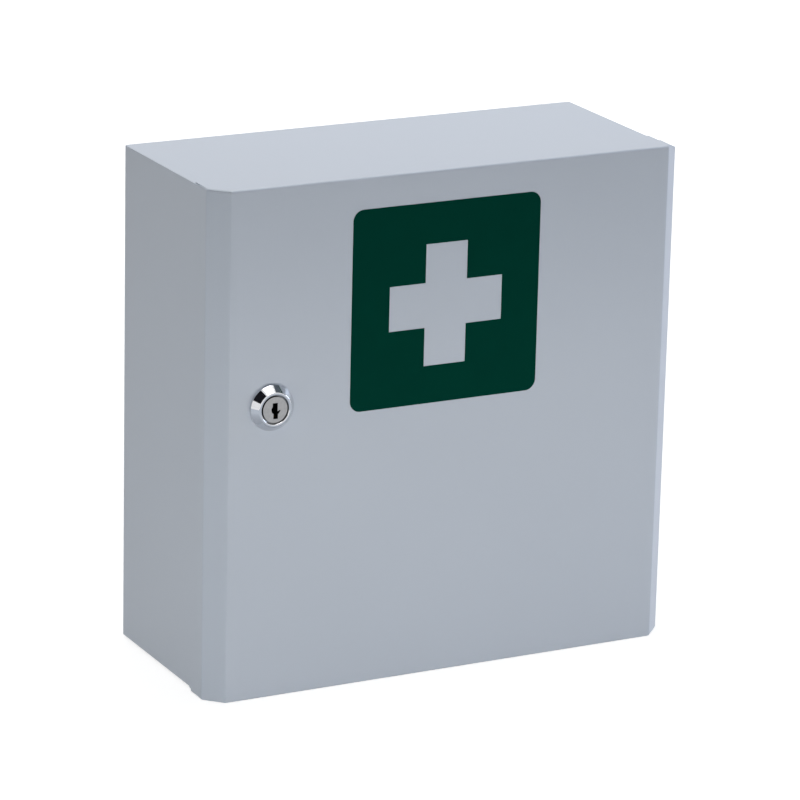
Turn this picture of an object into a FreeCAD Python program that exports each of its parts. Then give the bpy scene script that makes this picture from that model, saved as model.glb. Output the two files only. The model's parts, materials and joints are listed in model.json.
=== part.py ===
import FreeCAD, Part
import os
import re

import Sketcher
from FreeCAD import Placement, Rotation, Vector

# A wall-hung first aid cabinet: a folded steel case, a lid-like door on two butt hinges, and a cam lock.
# +X is to the right of someone who faces the door, +Y points into the wall and +Z up. The origin is the
# middle of the case's back, on the wall's face. Lengths are in millimetres.

# Driving sizes: the name of each cell, its value and what it is.
DRIVING_SIZES = (
    ("body_width", 244.0, "outside width of the case"),
    ("body_height", 249.4, "outside height of the case"),
    ("cabinet_depth", 105.0, "from the wall to the front of the door"),
    ("sheet", 0.8, "thickness of the steel sheet"),
    ("bend_radius", 1.2, "outside radius of the case's and door's bends"),
    ("sheet_edge_radius", 0.4, "rounding along the edges of the top and bottom panels"),
    ("rim_setback", 14.5, "from the door's front to the case's front flanges"),
    ("side_flange", 18.0, "width of the front flange on each side of the case"),
    ("rail_height", 12.0, "height of the front rail of the top and bottom panels"),
    ("weld_gap", 0.1, "gap between sheets that meet edge to edge"),
    ("wall_hole_radius", 3.25, "radius of the holes for the wall screws"),
    ("wall_hole_side_gap", 32.0, "from the sides of the case to the wall holes"),
    ("wall_hole_end_gap", 34.7, "from the top and bottom of the case to the wall holes"),
    ("door_chamfer", 8.8, "leg of the 45 degree edge on each side of the door"),
    ("door_rim_depth", 22.5, "from the door's front to the back edge of its rim"),
    ("flange_end_inset", 7.3, "from the door's right face to the start of its sloping corners"),
    ("rim_top_trim", 3.15, "how far the upper corner on the hinge side slopes down"),
    ("rim_bottom_trim", 1.4, "how far the lower corner on the hinge side slopes up"),
    ("lap_relief", 0.5, "from the case's front flanges to the cut in the sloping corners"),
    ("upper_corner_trim", 0.7, "how far the upper back corner of the left rim is cut away"),
    ("lower_corner_trim", 2.0, "how far the lower back corner of the left rim is cut away"),
    ("lap_clearance", 0.45, "gap between the door's rim and the case on three sides"),
    ("hinge_gap", 4.7, "gap between the case and the door's rim on the hinge side"),
    ("hinge_setback", 0.6, "from the back edge of the door's rim to the hinge axis"),
    ("hinge_length", 50.0, "length of each hinge along its pin"),
    ("hinge_end_gap", 39.7, "from the top and bottom of the case to the middles of the hinges"),
    ("knuckle_radius", 1.9, "outside radius of the hinge knuckles"),
    ("knuckle_gap", 0.3, "gap between neighbouring knuckles"),
    ("knuckle_clearance", 0.4, "gap between a leaf's notch and the other leaf's knuckle"),
    ("leaf_sheet", 0.7, "thickness of the hinge leaves"),
    ("body_leaf_width", 16.0, "from the hinge axis to the back edge of the leaf on the case"),
    ("leaf_end_clearance", 0.4, "gap between the door leaf and the start of the door's 45 degree edge"),
    ("pin_radius", 1.0, "radius of the hinge pins"),
    ("pin_head_radius", 1.5, "radius of the hinge pins' heads"),
    ("pin_head_height", 0.6, "height of the hinge pins' heads"),
    ("pin_fit", 0.02, "radial gap between a pin and the knuckles that hold it"),
    ("running_fit", 0.05, "radial gap between parts that turn in each other, or pass a hole"),
    ("rivet_radius", 1.5, "radius of the rivets' shanks"),
    ("rivet_head_radius", 2.6, "radius of the rivets' domed heads"),
    ("rivet_head_height", 0.9, "height of the rivets' domed heads"),
    ("rivet_tail_radius", 2.2, "radius of the rivets' set ends"),
    ("rivet_tail_height", 0.8, "height of the rivets' set ends"),
    ("rivet_spacing", 30.0, "distance between the two rivets of a leaf"),
    ("body_rivet_setback", 9.0, "from the hinge axis to the rivets in the case"),
    ("door_rivet_setback", 5.6, "from the hinge axis to the rivets in the door"),
    ("shelf_height", 0.0, "top of the shelf, above the middle of the case"),
    ("shelf_front_gap", 11.0, "from the case's front flanges to the front of the shelf"),
    ("shelf_lip", 10.0, "height of the shelf's folded front edge"),
    ("shelf_clearance", 0.4, "gap between the shelf and the sides and back of the case"),
    ("rail_leg", 10.0, "leg of the angle rails that carry the shelf"),
    ("rail_length", 64.0, "length of the angle rails that carry the shelf"),
    ("rail_back_gap", 8.0, "from the case's back to the angle rails"),
    ("buffer_radius", 4.5, "radius of the rubber buffers"),
    ("buffer_gap", 0.3, "gap between a rubber buffer and the closed door"),
    ("buffer_stem_radius", 1.9, "radius of the buffers' stems in the flange"),
    ("buffer_barb_radius", 3.0, "radius of the buffers' barbs behind the flange"),
    ("buffer_barb_height", 3.0, "height of the buffers' barbs"),
    ("buffer_edge_gap", 5.0, "from the flange's inner edge to the middle of the buffers"),
    ("buffer_end_gap", 40.0, "from the top and bottom of the case to the buffers"),
    ("sign_width", 100.0, "width of the nearly square sign"),
    ("sign_height", 99.0, "height of the nearly square sign"),
    ("sign_corner_radius", 5.5, "corner radius of the sign"),
    ("sign_thickness", 0.15, "thickness of the sign's film"),
    ("sign_shift", -1.4, "middle of the sign, right of the middle of the case"),
    ("sign_top_gap", 15.4, "from the top of the door to the top of the sign"),
    ("cross_length", 60.2, "the cross from tip to tip"),
    ("cross_arm", 22.2, "width of the cross's arms"),
    ("cross_drop", 0.8, "middle of the cross below the middle of the sign"),
    ("lock_inset", 30.5, "from the door's left face to the lock's axis"),
    ("lock_rise", 19.5, "lock's axis above the middle of the case"),
    ("head_radius", 11.2, "radius of the lock's head where it meets the door"),
    ("head_rim_height", 1.5, "height of the straight rim round the lock's head"),
    ("head_height", 5.0, "height of the lock's head"),
    ("lip_radius", 8.4, "radius of the head's flat front lip, before it is rounded"),
    ("lip_edge_radius", 0.6, "rounding between the head's lip and its cone"),
    ("recess_radius", 7.0, "radius of the recess round the plug's face"),
    ("recess_depth", 1.6, "depth of the recess round the plug's face"),
    ("face_radius", 6.3, "radius of the plug's face"),
    ("face_sink", 0.35, "how far the plug's face lies behind the head's lip"),
    ("face_gap", 0.1, "gap behind the plug's face"),
    ("barrel_radius", 8.5, "radius of the lock's barrel"),
    ("barrel_flat_radius", 7.6, "distance from the lock's axis to the barrel's two flats"),
    ("barrel_clearance", 0.1, "gap between the barrel and its hole in the door"),
    ("plug_radius", 6.2, "radius of the turning plug"),
    ("lock_washer_radius", 12.0, "outside radius of the lock's washer"),
    ("lock_washer_sheet", 0.8, "thickness of the lock's washer"),
    ("lock_nut_radius", 12.1, "radius over the corners of the lock's hexagon nut"),
    ("lock_nut_height", 4.0, "thickness of the lock's hexagon nut"),
    ("cam_gap", 2.7, "gap between the cam and the flange that it catches"),
    ("barrel_end_gap", 0.3, "gap between the barrel's end and the cam"),
    ("cam_sheet", 2.0, "thickness of the cam"),
    ("cam_length", 21.5, "from the lock's axis to the tip of the cam"),
    ("cam_width", 11.0, "width of the cam's arm"),
    ("cam_hub_radius", 7.0, "radius of the cam round the lock's axis"),
    ("cam_tip_radius", 3.0, "corner radius at the tip of the cam"),
    ("tenon_width", 6.0, "side of the plug's square end"),
    ("tenon_clearance", 0.05, "gap between the plug's square end and the cam"),
    ("tenon_sink", 0.1, "how far the plug's square end stays below the cam's back"),
    ("cam_washer_radius", 5.5, "outside radius of the washer under the cam's screw"),
    ("cam_washer_sheet", 0.8, "thickness of the washer under the cam's screw"),
    ("cam_screw_radius", 2.0, "radius of the cam's screw"),
    ("cam_screw_length", 7.0, "length of the cam's screw under its head"),
    ("cam_screw_end_gap", 0.6, "gap between the end of the cam's screw and its hole"),
    ("cam_screw_head_radius", 4.0, "radius over the corners of the screw's hexagon head"),
    ("cam_screw_head_height", 2.6, "height of the screw's hexagon head"),
    ("keyway_height", 8.2, "height of the keyway"),
    ("keyway_width", 2.5, "width of the keyway, without its side grooves"),
    ("keyway_drop", 0.8, "middle of the keyway below the lock's axis"),
    ("keyway_end_gap", 1.2, "solid metal between the keyway's end and the screw's hole"),
    ("wafer_sheet", 0.9, "thickness of a wafer"),
    ("wafer_clearance", 0.05, "gap between a wafer and its slot, on each face"),
    ("wafer_pitch", 1.8, "distance from one wafer to the next"),
    ("first_wafer_depth", 2.6, "from the plug's face to the first wafer's slot"),
    ("wafer_width", 7.4, "width of a wafer"),
    ("wafer_height", 9.8, "height of a wafer"),
    ("wafer_window_width", 5.8, "width of the window that the key passes"),
    ("wafer_window_height", 7.0, "height of the window that the key passes"),
    ("wafer_window_drop", 0.5, "middle of the window below the lock's axis"),
    ("wafer_shoulder_reach", 1.3, "how far a wafer's shoulder stands out at its side"),
    ("wafer_shoulder_height", 1.6, "height of a wafer's shoulder"),
    ("wafer_shoulder_rise", 1.2, "underside of a wafer's shoulder above the lock's axis"),
    ("spring_radius", 0.4, "outside radius of a wafer's spring"),
    ("spring_wall", 0.15, "wire thickness of a wafer's spring"),
    ("spring_length", 4.2, "length of a wafer's spring"),
    ("cut_overrun", 5.0, "how far a cutting shape runs past the solid"),
)

# Places that follow from the driving sizes, as formulas of the same sheet.
WORKED_OUT = (
    ("case_side", "body_width / 2"),
    ("case_top", "body_height / 2"),
    ("inner_side", "case_side - sheet"),
    ("inner_top", "case_top - sheet"),
    ("back_inner", "-sheet"),
    ("door_front", "-cabinet_depth"),
    ("door_inner", "door_front + sheet"),
    ("door_rear", "door_front + door_rim_depth"),
    ("door_left", "-case_side - lap_clearance - sheet"),
    ("door_right", "case_side + hinge_gap + sheet"),
    ("door_top", "case_top + lap_clearance + sheet"),
    ("bend_shift", "sheet * (sqrt(2) - 1)"),
    ("inner_bend_y", "door_front + door_chamfer + bend_shift"),
    ("inner_bend_x", "door_right - door_chamfer - bend_shift"),
    ("flange_end", "door_right - flange_end_inset"),
    ("rim_top", "door_top - rim_top_trim"),
    ("rim_bottom", "-door_top + rim_bottom_trim"),
    ("rim_front", "door_front + rim_setback"),
    ("rim_back", "rim_front + sheet"),
    ("flange_edge", "case_side - side_flange"),
    ("inner_bend_radius", "bend_radius - sheet"),
    ("hinge_x", "case_side + hinge_gap / 2"),
    ("hinge_y", "door_rear + hinge_setback"),
    ("hinge_z", "case_top - hinge_end_gap"),
    ("knuckle_length", "(hinge_length - 2 * knuckle_gap) / 3"),
    ("notch_reach", "knuckle_radius + knuckle_clearance"),
    ("shelf_under", "shelf_height - sheet"),
    ("sign_rise", "door_top - sign_top_gap - sign_height / 2"),
    ("lock_x", "door_left + lock_inset"),
    ("recess_floor", "head_height - recess_depth"),
    ("face_level", "head_height - face_sink"),
    ("cam_front_depth", "rim_setback + sheet + cam_gap"),
    ("cam_back_depth", "cam_front_depth + cam_sheet"),
    ("barrel_length", "cam_front_depth - barrel_end_gap"),
    ("tenon_end_depth", "cam_back_depth - tenon_sink"),
    ("screw_seat_depth", "cam_back_depth + cam_washer_sheet"),
    ("screw_hole_depth", "screw_seat_depth - cam_screw_length - cam_screw_end_gap"),
    ("wafer_slot", "wafer_sheet + 2 * wafer_clearance"),
    ("wafer_slot_side", "wafer_width / 2 + wafer_clearance"),
    ("wafer_bay_side", "wafer_slot_side + wafer_shoulder_reach"),
    ("spring_foot", "wafer_shoulder_rise - spring_length"),
    ("spring_x", "wafer_width / 2 + wafer_shoulder_reach / 2"),
)

WAFER_COUNT = 5
PARALLEL_SHARE = 1e-6
SIDES = (("left", -1), ("right", 1))
LEVELS = (("upper", 1), ("lower", -1))

# The keyway's outline in shares of its half width and half height: a slot with a rounded groove in its left
# wall and a slanted ward in its right wall.
KEYWAY_SHARES = (
    (-1.1, 1.0), (-1.1, 0.6), (-1.55, 0.35), (-1.6, 0.15), (-1.38, -0.12), (-0.75, -0.27), (-0.75, -0.9),
    (1.12, -0.9), (1.12, -0.35), (1.4, -0.3), (2.2, 0.03), (1.85, 0.13), (1.0, 0.0), (1.0, 1.0),
)

doc = FreeCAD.newDocument("first_aid_cabinet")
sheet = doc.addObject("Spreadsheet::Sheet", "Sizes")
workings = doc.addObject("Spreadsheet::Sheet", "Workings")
parts = []


def fill_sheet():
    """Write every driving size and worked-out place into the sheet, each under its own alias."""
    row = 0
    for name, number, note in DRIVING_SIZES:
        row += 1
        sheet.set(f"A{row}", note)
        sheet.set(f"B{row}", str(number))
        sheet.setAlias(f"B{row}", name)
    for name, formula in WORKED_OUT:
        row += 1
        sheet.set(f"B{row}", "=" + formula)
        sheet.setAlias(f"B{row}", name)
    doc.recompute()


ALIASES = {entry[0] for entry in DRIVING_SIZES + WORKED_OUT}


def in_sheet(expression):
    """Return the expression with the sheet's name before each of its cells."""
    return re.sub(r"[a-z_]+", lambda word: "Sizes." + word[0] if word[0] in ALIASES else word[0], expression)


def bind(thing, path, expression):
    """Let a property of an object follow the sheet."""
    thing.setExpression(path, in_sheet(expression))


def value_of(expression):
    """Work out an expression in a cell of the second sheet."""
    workings.set("A1", "=" + in_sheet(expression))
    workings.recompute()
    return float(workings.get("A1"))


def new_body(name):
    """Start a PartDesign body with a label of its own."""
    body = doc.addObject("PartDesign::Body", name)
    body.Label = name
    return body


def keep(thing):
    """Put an object on the list of finished sub-parts."""
    parts.append(thing)
    return thing


def sketch_on(body, role, offset="0"):
    """Add a sketch on one of the body's own origin planes, moved along the plane's normal."""
    plane = next(plane for plane in body.Origin.OriginFeatures if plane.Role == role)
    sketch = body.newObject("Sketcher::SketchObject", body.Name + "_sketch")
    sketch.AttachmentSupport = [(plane, "")]
    sketch.MapMode = "FlatFace"
    bind(sketch, "AttachmentOffset.Base.z", offset)
    return sketch


def pin_point(sketch, geometry, end, x, y):
    """Tie a point of a sketch to two expressions, measured from the sketch's origin."""
    for kind, place in (("DistanceX", x), ("DistanceY", y)):
        number = sketch.addConstraint(Sketcher.Constraint(kind, -1, 1, geometry, end, value_of(place)))
        bind(sketch, f"Constraints[{number}]", place)


def draw_polygon(sketch, corners):
    """Draw a closed outline through corners that are pairs of expressions."""
    points = [Vector(value_of(x), value_of(y), 0) for x, y in corners]
    first = sketch.GeometryCount
    count = len(points)
    for index in range(count):
        sketch.addGeometry(Part.LineSegment(points[index], points[(index + 1) % count]), False)
    for index, (x, y) in enumerate(corners):
        following = first + (index + 1) % count
        sketch.addConstraint(Sketcher.Constraint("Coincident", first + index, 2, following, 1))
        pin_point(sketch, first + index, 1, x, y)


def draw_rectangle(sketch, low, high):
    """Draw a rectangle between two corners."""
    draw_polygon(sketch, (low, (high[0], low[1]), high, (low[0], high[1])))


def draw_circle(sketch, x, y, radius):
    """Draw a circle whose centre and radius are expressions."""
    circle = Part.Circle(Vector(value_of(x), value_of(y), 0), Vector(0, 0, 1), value_of(radius))
    geometry = sketch.addGeometry(circle, False)
    pin_point(sketch, geometry, 3, x, y)
    number = sketch.addConstraint(Sketcher.Constraint("Radius", geometry, value_of(radius)))
    bind(sketch, f"Constraints[{number}]", radius)


def pad(body, sketch, length, symmetric=False, reverse=False):
    """Add material from a sketch."""
    feature = body.newObject("PartDesign::Pad", body.Name + "_pad")
    feature.Profile = sketch
    feature.SideType = "Symmetric" if symmetric else "One side"
    feature.Reversed = reverse
    bind(feature, "Length", length)
    doc.recompute()
    return feature


def pocket(body, sketch, length, symmetric=False, reverse=False):
    """Cut a sketch's shape out of the body, and make sure that it cuts something."""
    doc.recompute()
    before = body.Shape.Volume
    feature = body.newObject("PartDesign::Pocket", body.Name + "_pocket")
    feature.Profile = sketch
    feature.SideType = "Symmetric" if symmetric else "One side"
    feature.Reversed = reverse
    bind(feature, "Length", length)
    doc.recompute()
    if body.Shape.Volume >= before:
        raise RuntimeError(f"{feature.Name} cuts nothing out of {body.Label}")
    return feature


def round_edges(body, radius, wanted):
    """Fillet the edges of the body that the given test picks."""
    doc.recompute()
    base = body.Tip
    names = [f"Edge{number}" for number, edge in enumerate(base.Shape.Edges, 1) if wanted(edge)]
    feature = body.newObject("PartDesign::Fillet", body.Name + "_fillet")
    feature.Base = (base, names)
    bind(feature, "Radius", radius)
    doc.recompute()
    return feature


def runs_along(edge, axis):
    """Tell whether an edge is a straight line along an axis."""
    if edge.Curve.TypeId != "Part::GeomLine":
        return False
    return edge.tangentAt(edge.FirstParameter).cross(axis).Length < PARALLEL_SHARE


def turned(name, outline):
    """Turn an outline of radius and height pairs about the body's own Z axis."""
    body = new_body(name)
    sketch = sketch_on(body, "XZ_Plane")
    draw_polygon(sketch, outline)
    feature = body.newObject("PartDesign::Revolution", name + "_turn")
    feature.Profile = sketch
    feature.ReferenceAxis = (sketch, ["V_Axis"])
    feature.Angle = 360
    doc.recompute()
    return body


def set_place(thing, x, y, z, turn=None):
    """Place an object by expressions, turned as given."""
    thing.Placement = Placement(Vector(), turn or Rotation())
    for axis, place in zip("xyz", (x, y, z)):
        bind(thing, f"Placement.Base.{axis}", place)
    return thing


def box(name, low, size):
    """Add a box by its low corner and its size."""
    solid = doc.addObject("Part::Box", name)
    for path, expression in zip(("Length", "Width", "Height"), size):
        bind(solid, path, expression)
    return set_place(solid, *low)


def cylinder(name, radius, height, foot, turn=None):
    """Add a cylinder that starts at a foot point and runs along +Z before it is turned."""
    solid = doc.addObject("Part::Cylinder", name)
    bind(solid, "Radius", radius)
    bind(solid, "Height", height)
    return set_place(solid, *foot, turn)


def hexagon(name, radius, height, foot, turn=None):
    """Add a six-sided prism by the radius over its corners."""
    solid = doc.addObject("Part::Prism", name)
    solid.Polygon = 6
    bind(solid, "Circumradius", radius)
    bind(solid, "Height", height)
    return set_place(solid, *foot, turn)


def fuse(name, solids):
    """Join solids into one."""
    joined = doc.addObject("Part::MultiFuse", name)
    joined.Shapes = solids
    joined.Refine = True
    return joined


def cut(name, base, tools):
    """Take solids away from another."""
    remaining = base
    for number, tool in enumerate(tools, 1):
        taken = doc.addObject("Part::Cut", f"{name}_cut{number}" if number < len(tools) else name)
        taken.Base = remaining
        taken.Tool = tool
        taken.Refine = True
        remaining = taken
    return remaining


def group(name, solids):
    """Collect like solids in one node."""
    collected = doc.addObject("Part::Compound", name)
    collected.Links = solids
    return collected


ALONG_X = Vector(1, 0, 0)
ALONG_Y = Vector(0, 1, 0)
ALONG_Z = Vector(0, 0, 1)
Z_TO_RIGHT = Rotation(ALONG_Y, 90)
Z_TO_FRONT = Rotation(ALONG_X, 90)


def hinge_places():
    """Name each hinge and the height of its middle."""
    for level, sign in LEVELS:
        yield level, "hinge_z" if sign > 0 else "-hinge_z"


def leaf_rivet_heights(middle):
    """Give the heights of the two rivets of a leaf whose middle is given."""
    return f"{middle} + rivet_spacing / 2", f"{middle} - rivet_spacing / 2"


def rivet_heights():
    """Give the height of every rivet in one row."""
    for _, middle in hinge_places():
        yield from leaf_rivet_heights(middle)


def make_cabinet_shell():
    """Back, sides and front flanges, folded from one sheet."""
    body = new_body("cabinet_shell")
    plan = sketch_on(body, "XY_Plane")
    draw_polygon(plan, (
        ("-flange_edge", "rim_front"),
        ("-case_side", "rim_front"),
        ("-case_side", "0"),
        ("case_side", "0"),
        ("case_side", "rim_front"),
        ("flange_edge", "rim_front"),
        ("flange_edge", "rim_back"),
        ("inner_side", "rim_back"),
        ("inner_side", "back_inner"),
        ("-inner_side", "back_inner"),
        ("-inner_side", "rim_back"),
        ("-flange_edge", "rim_back"),
    ))
    pad(body, plan, "2 * inner_top", symmetric=True)
    half_sheet = value_of("sheet / 2")
    outer_side = value_of("case_side")
    inner_side = value_of("inner_side")

    def at_side(edge, side):
        return runs_along(edge, ALONG_Z) and abs(abs(edge.CenterOfMass.x) - side) < half_sheet

    round_edges(body, "bend_radius", lambda edge: at_side(edge, outer_side))
    round_edges(body, "inner_bend_radius", lambda edge: at_side(edge, inner_side))

    holes = sketch_on(body, "XZ_Plane")
    for across in ("wall_hole_side_gap - case_side", "case_side - wall_hole_side_gap"):
        for up in ("wall_hole_end_gap - case_top", "case_top - wall_hole_end_gap"):
            draw_circle(holes, across, up, "wall_hole_radius")
    pocket(body, holes, "sheet + cut_overrun", reverse=True)

    buffer_holes = sketch_on(body, "XZ_Plane", "-rim_front")
    for up in ("case_top - buffer_end_gap", "buffer_end_gap - case_top"):
        draw_circle(buffer_holes, "-flange_edge - buffer_edge_gap", up, "buffer_stem_radius + running_fit")
    pocket(body, buffer_holes, "sheet + cut_overrun")

    rivet_holes = sketch_on(body, "YZ_Plane", "case_side")
    for up in rivet_heights():
        draw_circle(rivet_holes, "hinge_y + body_rivet_setback", up, "rivet_radius + running_fit")
    pocket(body, rivet_holes, "sheet + cut_overrun")
    keep(body)


def make_end_panel(name, sign):
    """Flat top or bottom sheet with a folded front rail between the side flanges."""
    body = new_body(name)
    flip = "" if sign > 0 else "-"
    low_level = "inner_top" if sign > 0 else "-case_top"
    plan = sketch_on(body, "XY_Plane", low_level)
    draw_rectangle(plan, ("-case_side", "rim_front"), ("case_side", "0"))
    pad(body, plan, "sheet")
    round_edges(body, "bend_radius", lambda edge: runs_along(edge, ALONG_Z))
    rail = sketch_on(body, "XZ_Plane", "-rim_front")
    rail_side = "flange_edge - weld_gap"
    draw_rectangle(
        rail,
        (f"-({rail_side})", f"{flip}inner_top"),
        (rail_side, f"{flip}(case_top - rail_height)"),
    )
    pad(body, rail, "sheet", reverse=True)
    outer_level = value_of(f"{flip}case_top")
    rim_front = value_of("rim_front")
    half_sheet = value_of("sheet / 2")

    def on_open_edge(edge):
        middle = edge.CenterOfMass
        return abs(middle.z - outer_level) < half_sheet / 2 and middle.y > rim_front + half_sheet

    round_edges(body, "sheet_edge_radius", on_open_edge)
    keep(body)


def make_shelf():
    """Flat shelf with a folded front edge."""
    body = new_body("shelf")
    profile = sketch_on(body, "YZ_Plane")
    front = "rim_front + shelf_front_gap"
    rear = "back_inner - shelf_clearance"
    draw_polygon(profile, (
        (rear, "shelf_height"),
        (front, "shelf_height"),
        (front, "shelf_height - shelf_lip"),
        (f"{front} + sheet", "shelf_height - shelf_lip"),
        (f"{front} + sheet", "shelf_under"),
        (rear, "shelf_under"),
    ))
    pad(body, profile, "2 * (inner_side - shelf_clearance)", symmetric=True)
    fold = value_of(front)
    top = value_of("shelf_height")
    half_sheet = value_of("sheet / 2")

    def at_fold(edge):
        middle = edge.CenterOfMass
        near = abs(middle.y - fold) < half_sheet and abs(middle.z - top) < half_sheet
        return near and runs_along(edge, ALONG_X)

    round_edges(body, "bend_radius", at_fold)
    keep(body)


def make_shelf_rails():
    """Angle rails on the inside of the case, under the shelf's ends."""
    for side, sign in SIDES:
        flip = "" if sign > 0 else "-"
        body = new_body(f"{side}_shelf_rail")
        profile = sketch_on(body, "XZ_Plane", "sheet + rail_back_gap")
        draw_polygon(profile, (
            (f"{flip}inner_side", "shelf_under"),
            (f"{flip}(inner_side - rail_leg)", "shelf_under"),
            (f"{flip}(inner_side - rail_leg)", "shelf_under - sheet"),
            (f"{flip}(inner_side - sheet)", "shelf_under - sheet"),
            (f"{flip}(inner_side - sheet)", "shelf_under - rail_leg"),
            (f"{flip}inner_side", "shelf_under - rail_leg"),
        ))
        pad(body, profile, "rail_length")
        keep(body)


def make_door_buffers():
    """Rubber buffers pushed into the lock side's flange, just clear of the closed door."""
    buffers = []
    for level, up in (("upper", "case_top - buffer_end_gap"), ("lower", "buffer_end_gap - case_top")):
        height = "rim_setback - sheet - buffer_gap"
        buffer = turned(f"{level}_buffer", (
            ("0", "-sheet - buffer_barb_height"),
            ("buffer_stem_radius", "-sheet - buffer_barb_height"),
            ("buffer_barb_radius", "-sheet"),
            ("buffer_stem_radius", "-sheet"),
            ("buffer_stem_radius", "0"),
            ("buffer_radius", "0"),
            ("buffer_radius", f"{height} - buffer_radius / 3"),
            ("buffer_radius * 2 / 3", height),
            ("0", height),
        ))
        buffers.append(set_place(buffer, "-flange_edge - buffer_edge_gap", "rim_front", up, Z_TO_FRONT))
    keep(group("door_buffers", buffers))


def make_hinge(level, middle):
    """One butt hinge: a leaf on the case with two knuckles, a leaf on the door with one, and the pin."""
    foot = f"{middle} - hinge_length / 2"
    step = "knuckle_length + knuckle_gap"
    axis = ("hinge_x", "hinge_y")
    body_leaf_x = "case_side"
    door_leaf_x = "case_side + hinge_gap - leaf_sheet"
    bore_foot = (*axis, f"{foot} - cut_overrun")
    bore_length = "hinge_length + 2 * cut_overrun"
    hole_radius = "rivet_radius + running_fit"

    name = f"{level}_hinge_body_leaf"
    pieces = [box(
        f"{name}_plate",
        (body_leaf_x, "hinge_y + notch_reach", foot),
        ("leaf_sheet", "body_leaf_width - notch_reach", "hinge_length"),
    )]
    for number in (0, 2):
        knuckle_foot = f"{foot} + {number} * ({step})"
        pieces.append(box(
            f"{name}_arm{number}",
            (body_leaf_x, "hinge_y - knuckle_radius / 2", knuckle_foot),
            ("leaf_sheet", "notch_reach + knuckle_radius / 2", "knuckle_length"),
        ))
        start = (*axis, knuckle_foot)
        pieces.append(cylinder(f"{name}_knuckle{number}", "knuckle_radius", "knuckle_length", start))
    cutters = [cylinder(f"{name}_bore", "pin_radius + pin_fit", bore_length, bore_foot)]
    for up in leaf_rivet_heights(middle):
        start = (f"{body_leaf_x} - cut_overrun", "hinge_y + body_rivet_setback", up)
        cutters.append(cylinder(f"{name}_hole", hole_radius, "2 * cut_overrun", start, Z_TO_RIGHT))
    keep(cut(name, fuse(f"{name}_blank", pieces), cutters))

    name = f"{level}_hinge_door_leaf"
    leaf_front = "door_front + door_chamfer + leaf_end_clearance"
    pieces = [
        box(
            f"{name}_plate",
            (door_leaf_x, leaf_front, foot),
            ("leaf_sheet", f"hinge_y - notch_reach - ({leaf_front})", "hinge_length"),
        ),
        box(
            f"{name}_arm",
            (door_leaf_x, "hinge_y - notch_reach", f"{foot} + {step}"),
            ("leaf_sheet", "notch_reach + knuckle_radius / 2", "knuckle_length"),
        ),
        cylinder(f"{name}_knuckle", "knuckle_radius", "knuckle_length", (*axis, f"{foot} + {step}")),
    ]
    cutters = [cylinder(f"{name}_bore", "pin_radius + running_fit", bore_length, bore_foot)]
    for up in leaf_rivet_heights(middle):
        start = (f"{door_leaf_x} - cut_overrun", "hinge_y - door_rivet_setback", up)
        cutters.append(cylinder(f"{name}_hole", hole_radius, "2 * cut_overrun", start, Z_TO_RIGHT))
    keep(cut(name, fuse(f"{name}_blank", pieces), cutters))

    half = "hinge_length / 2"
    pin = turned(f"{level}_hinge_pin", (
        ("0", f"-{half} - pin_head_height"),
        ("pin_head_radius", f"-{half} - pin_head_height"),
        ("pin_head_radius", f"-{half}"),
        ("pin_radius", f"-{half}"),
        ("pin_radius", half),
        ("pin_head_radius", half),
        ("pin_head_radius", f"{half} + pin_head_height"),
        ("0", f"{half} + pin_head_height"),
    ))
    keep(set_place(pin, *axis, middle))


def make_rivet(name, grip, seat):
    """A rivet with a domed head to the right of its seat and a set end on the far side of the grip."""
    head = doc.addObject("Part::Ellipsoid", f"{name}_head")
    bind(head, "Radius1", "rivet_head_height")
    bind(head, "Radius2", "rivet_head_radius")
    bind(head, "Radius3", "rivet_head_radius")
    head.Angle1 = 0
    head.Angle2 = 90
    set_place(head, *seat, Z_TO_RIGHT)
    end = (f"{seat[0]} - ({grip}) - rivet_tail_height", *seat[1:])
    shank = cylinder(f"{name}_shank", "rivet_radius", f"{grip} + rivet_tail_height", end, Z_TO_RIGHT)
    tail = cylinder(f"{name}_tail", "rivet_tail_radius", "rivet_tail_height", end, Z_TO_RIGHT)
    return fuse(name, [head, shank, tail])


def make_rivets():
    """Rivets that hold the leaves to the case and to the door's rim, with their heads outside."""
    in_case = []
    in_door = []
    grip = "sheet + leaf_sheet"
    for number, up in enumerate(rivet_heights(), 1):
        seat = ("case_side + leaf_sheet", "hinge_y + body_rivet_setback", up)
        in_case.append(make_rivet(f"body_rivet{number}", grip, seat))
        seat = ("door_right", "hinge_y - door_rivet_setback", up)
        in_door.append(make_rivet(f"door_rivet{number}", grip, seat))
    keep(group("body_leaf_rivets", in_case))
    keep(group("door_leaf_rivets", in_door))


def slope_right_corners(body):
    """Slope the corners of the block on the hinge side, down to the end of the rim."""
    sketch = sketch_on(body, "XZ_Plane", "cabinet_depth")
    past_right = "door_right + cut_overrun"
    for edge, rim_end, past_end in (
        ("door_top", "rim_top", "door_top + cut_overrun"),
        ("-door_top", "rim_bottom", "-door_top - cut_overrun"),
    ):
        draw_polygon(sketch, (
            ("flange_end", past_end),
            ("flange_end", edge),
            ("door_right", rim_end),
            (past_right, rim_end),
            (past_right, past_end),
        ))
    pocket(body, sketch, "door_rim_depth + cut_overrun")


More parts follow.
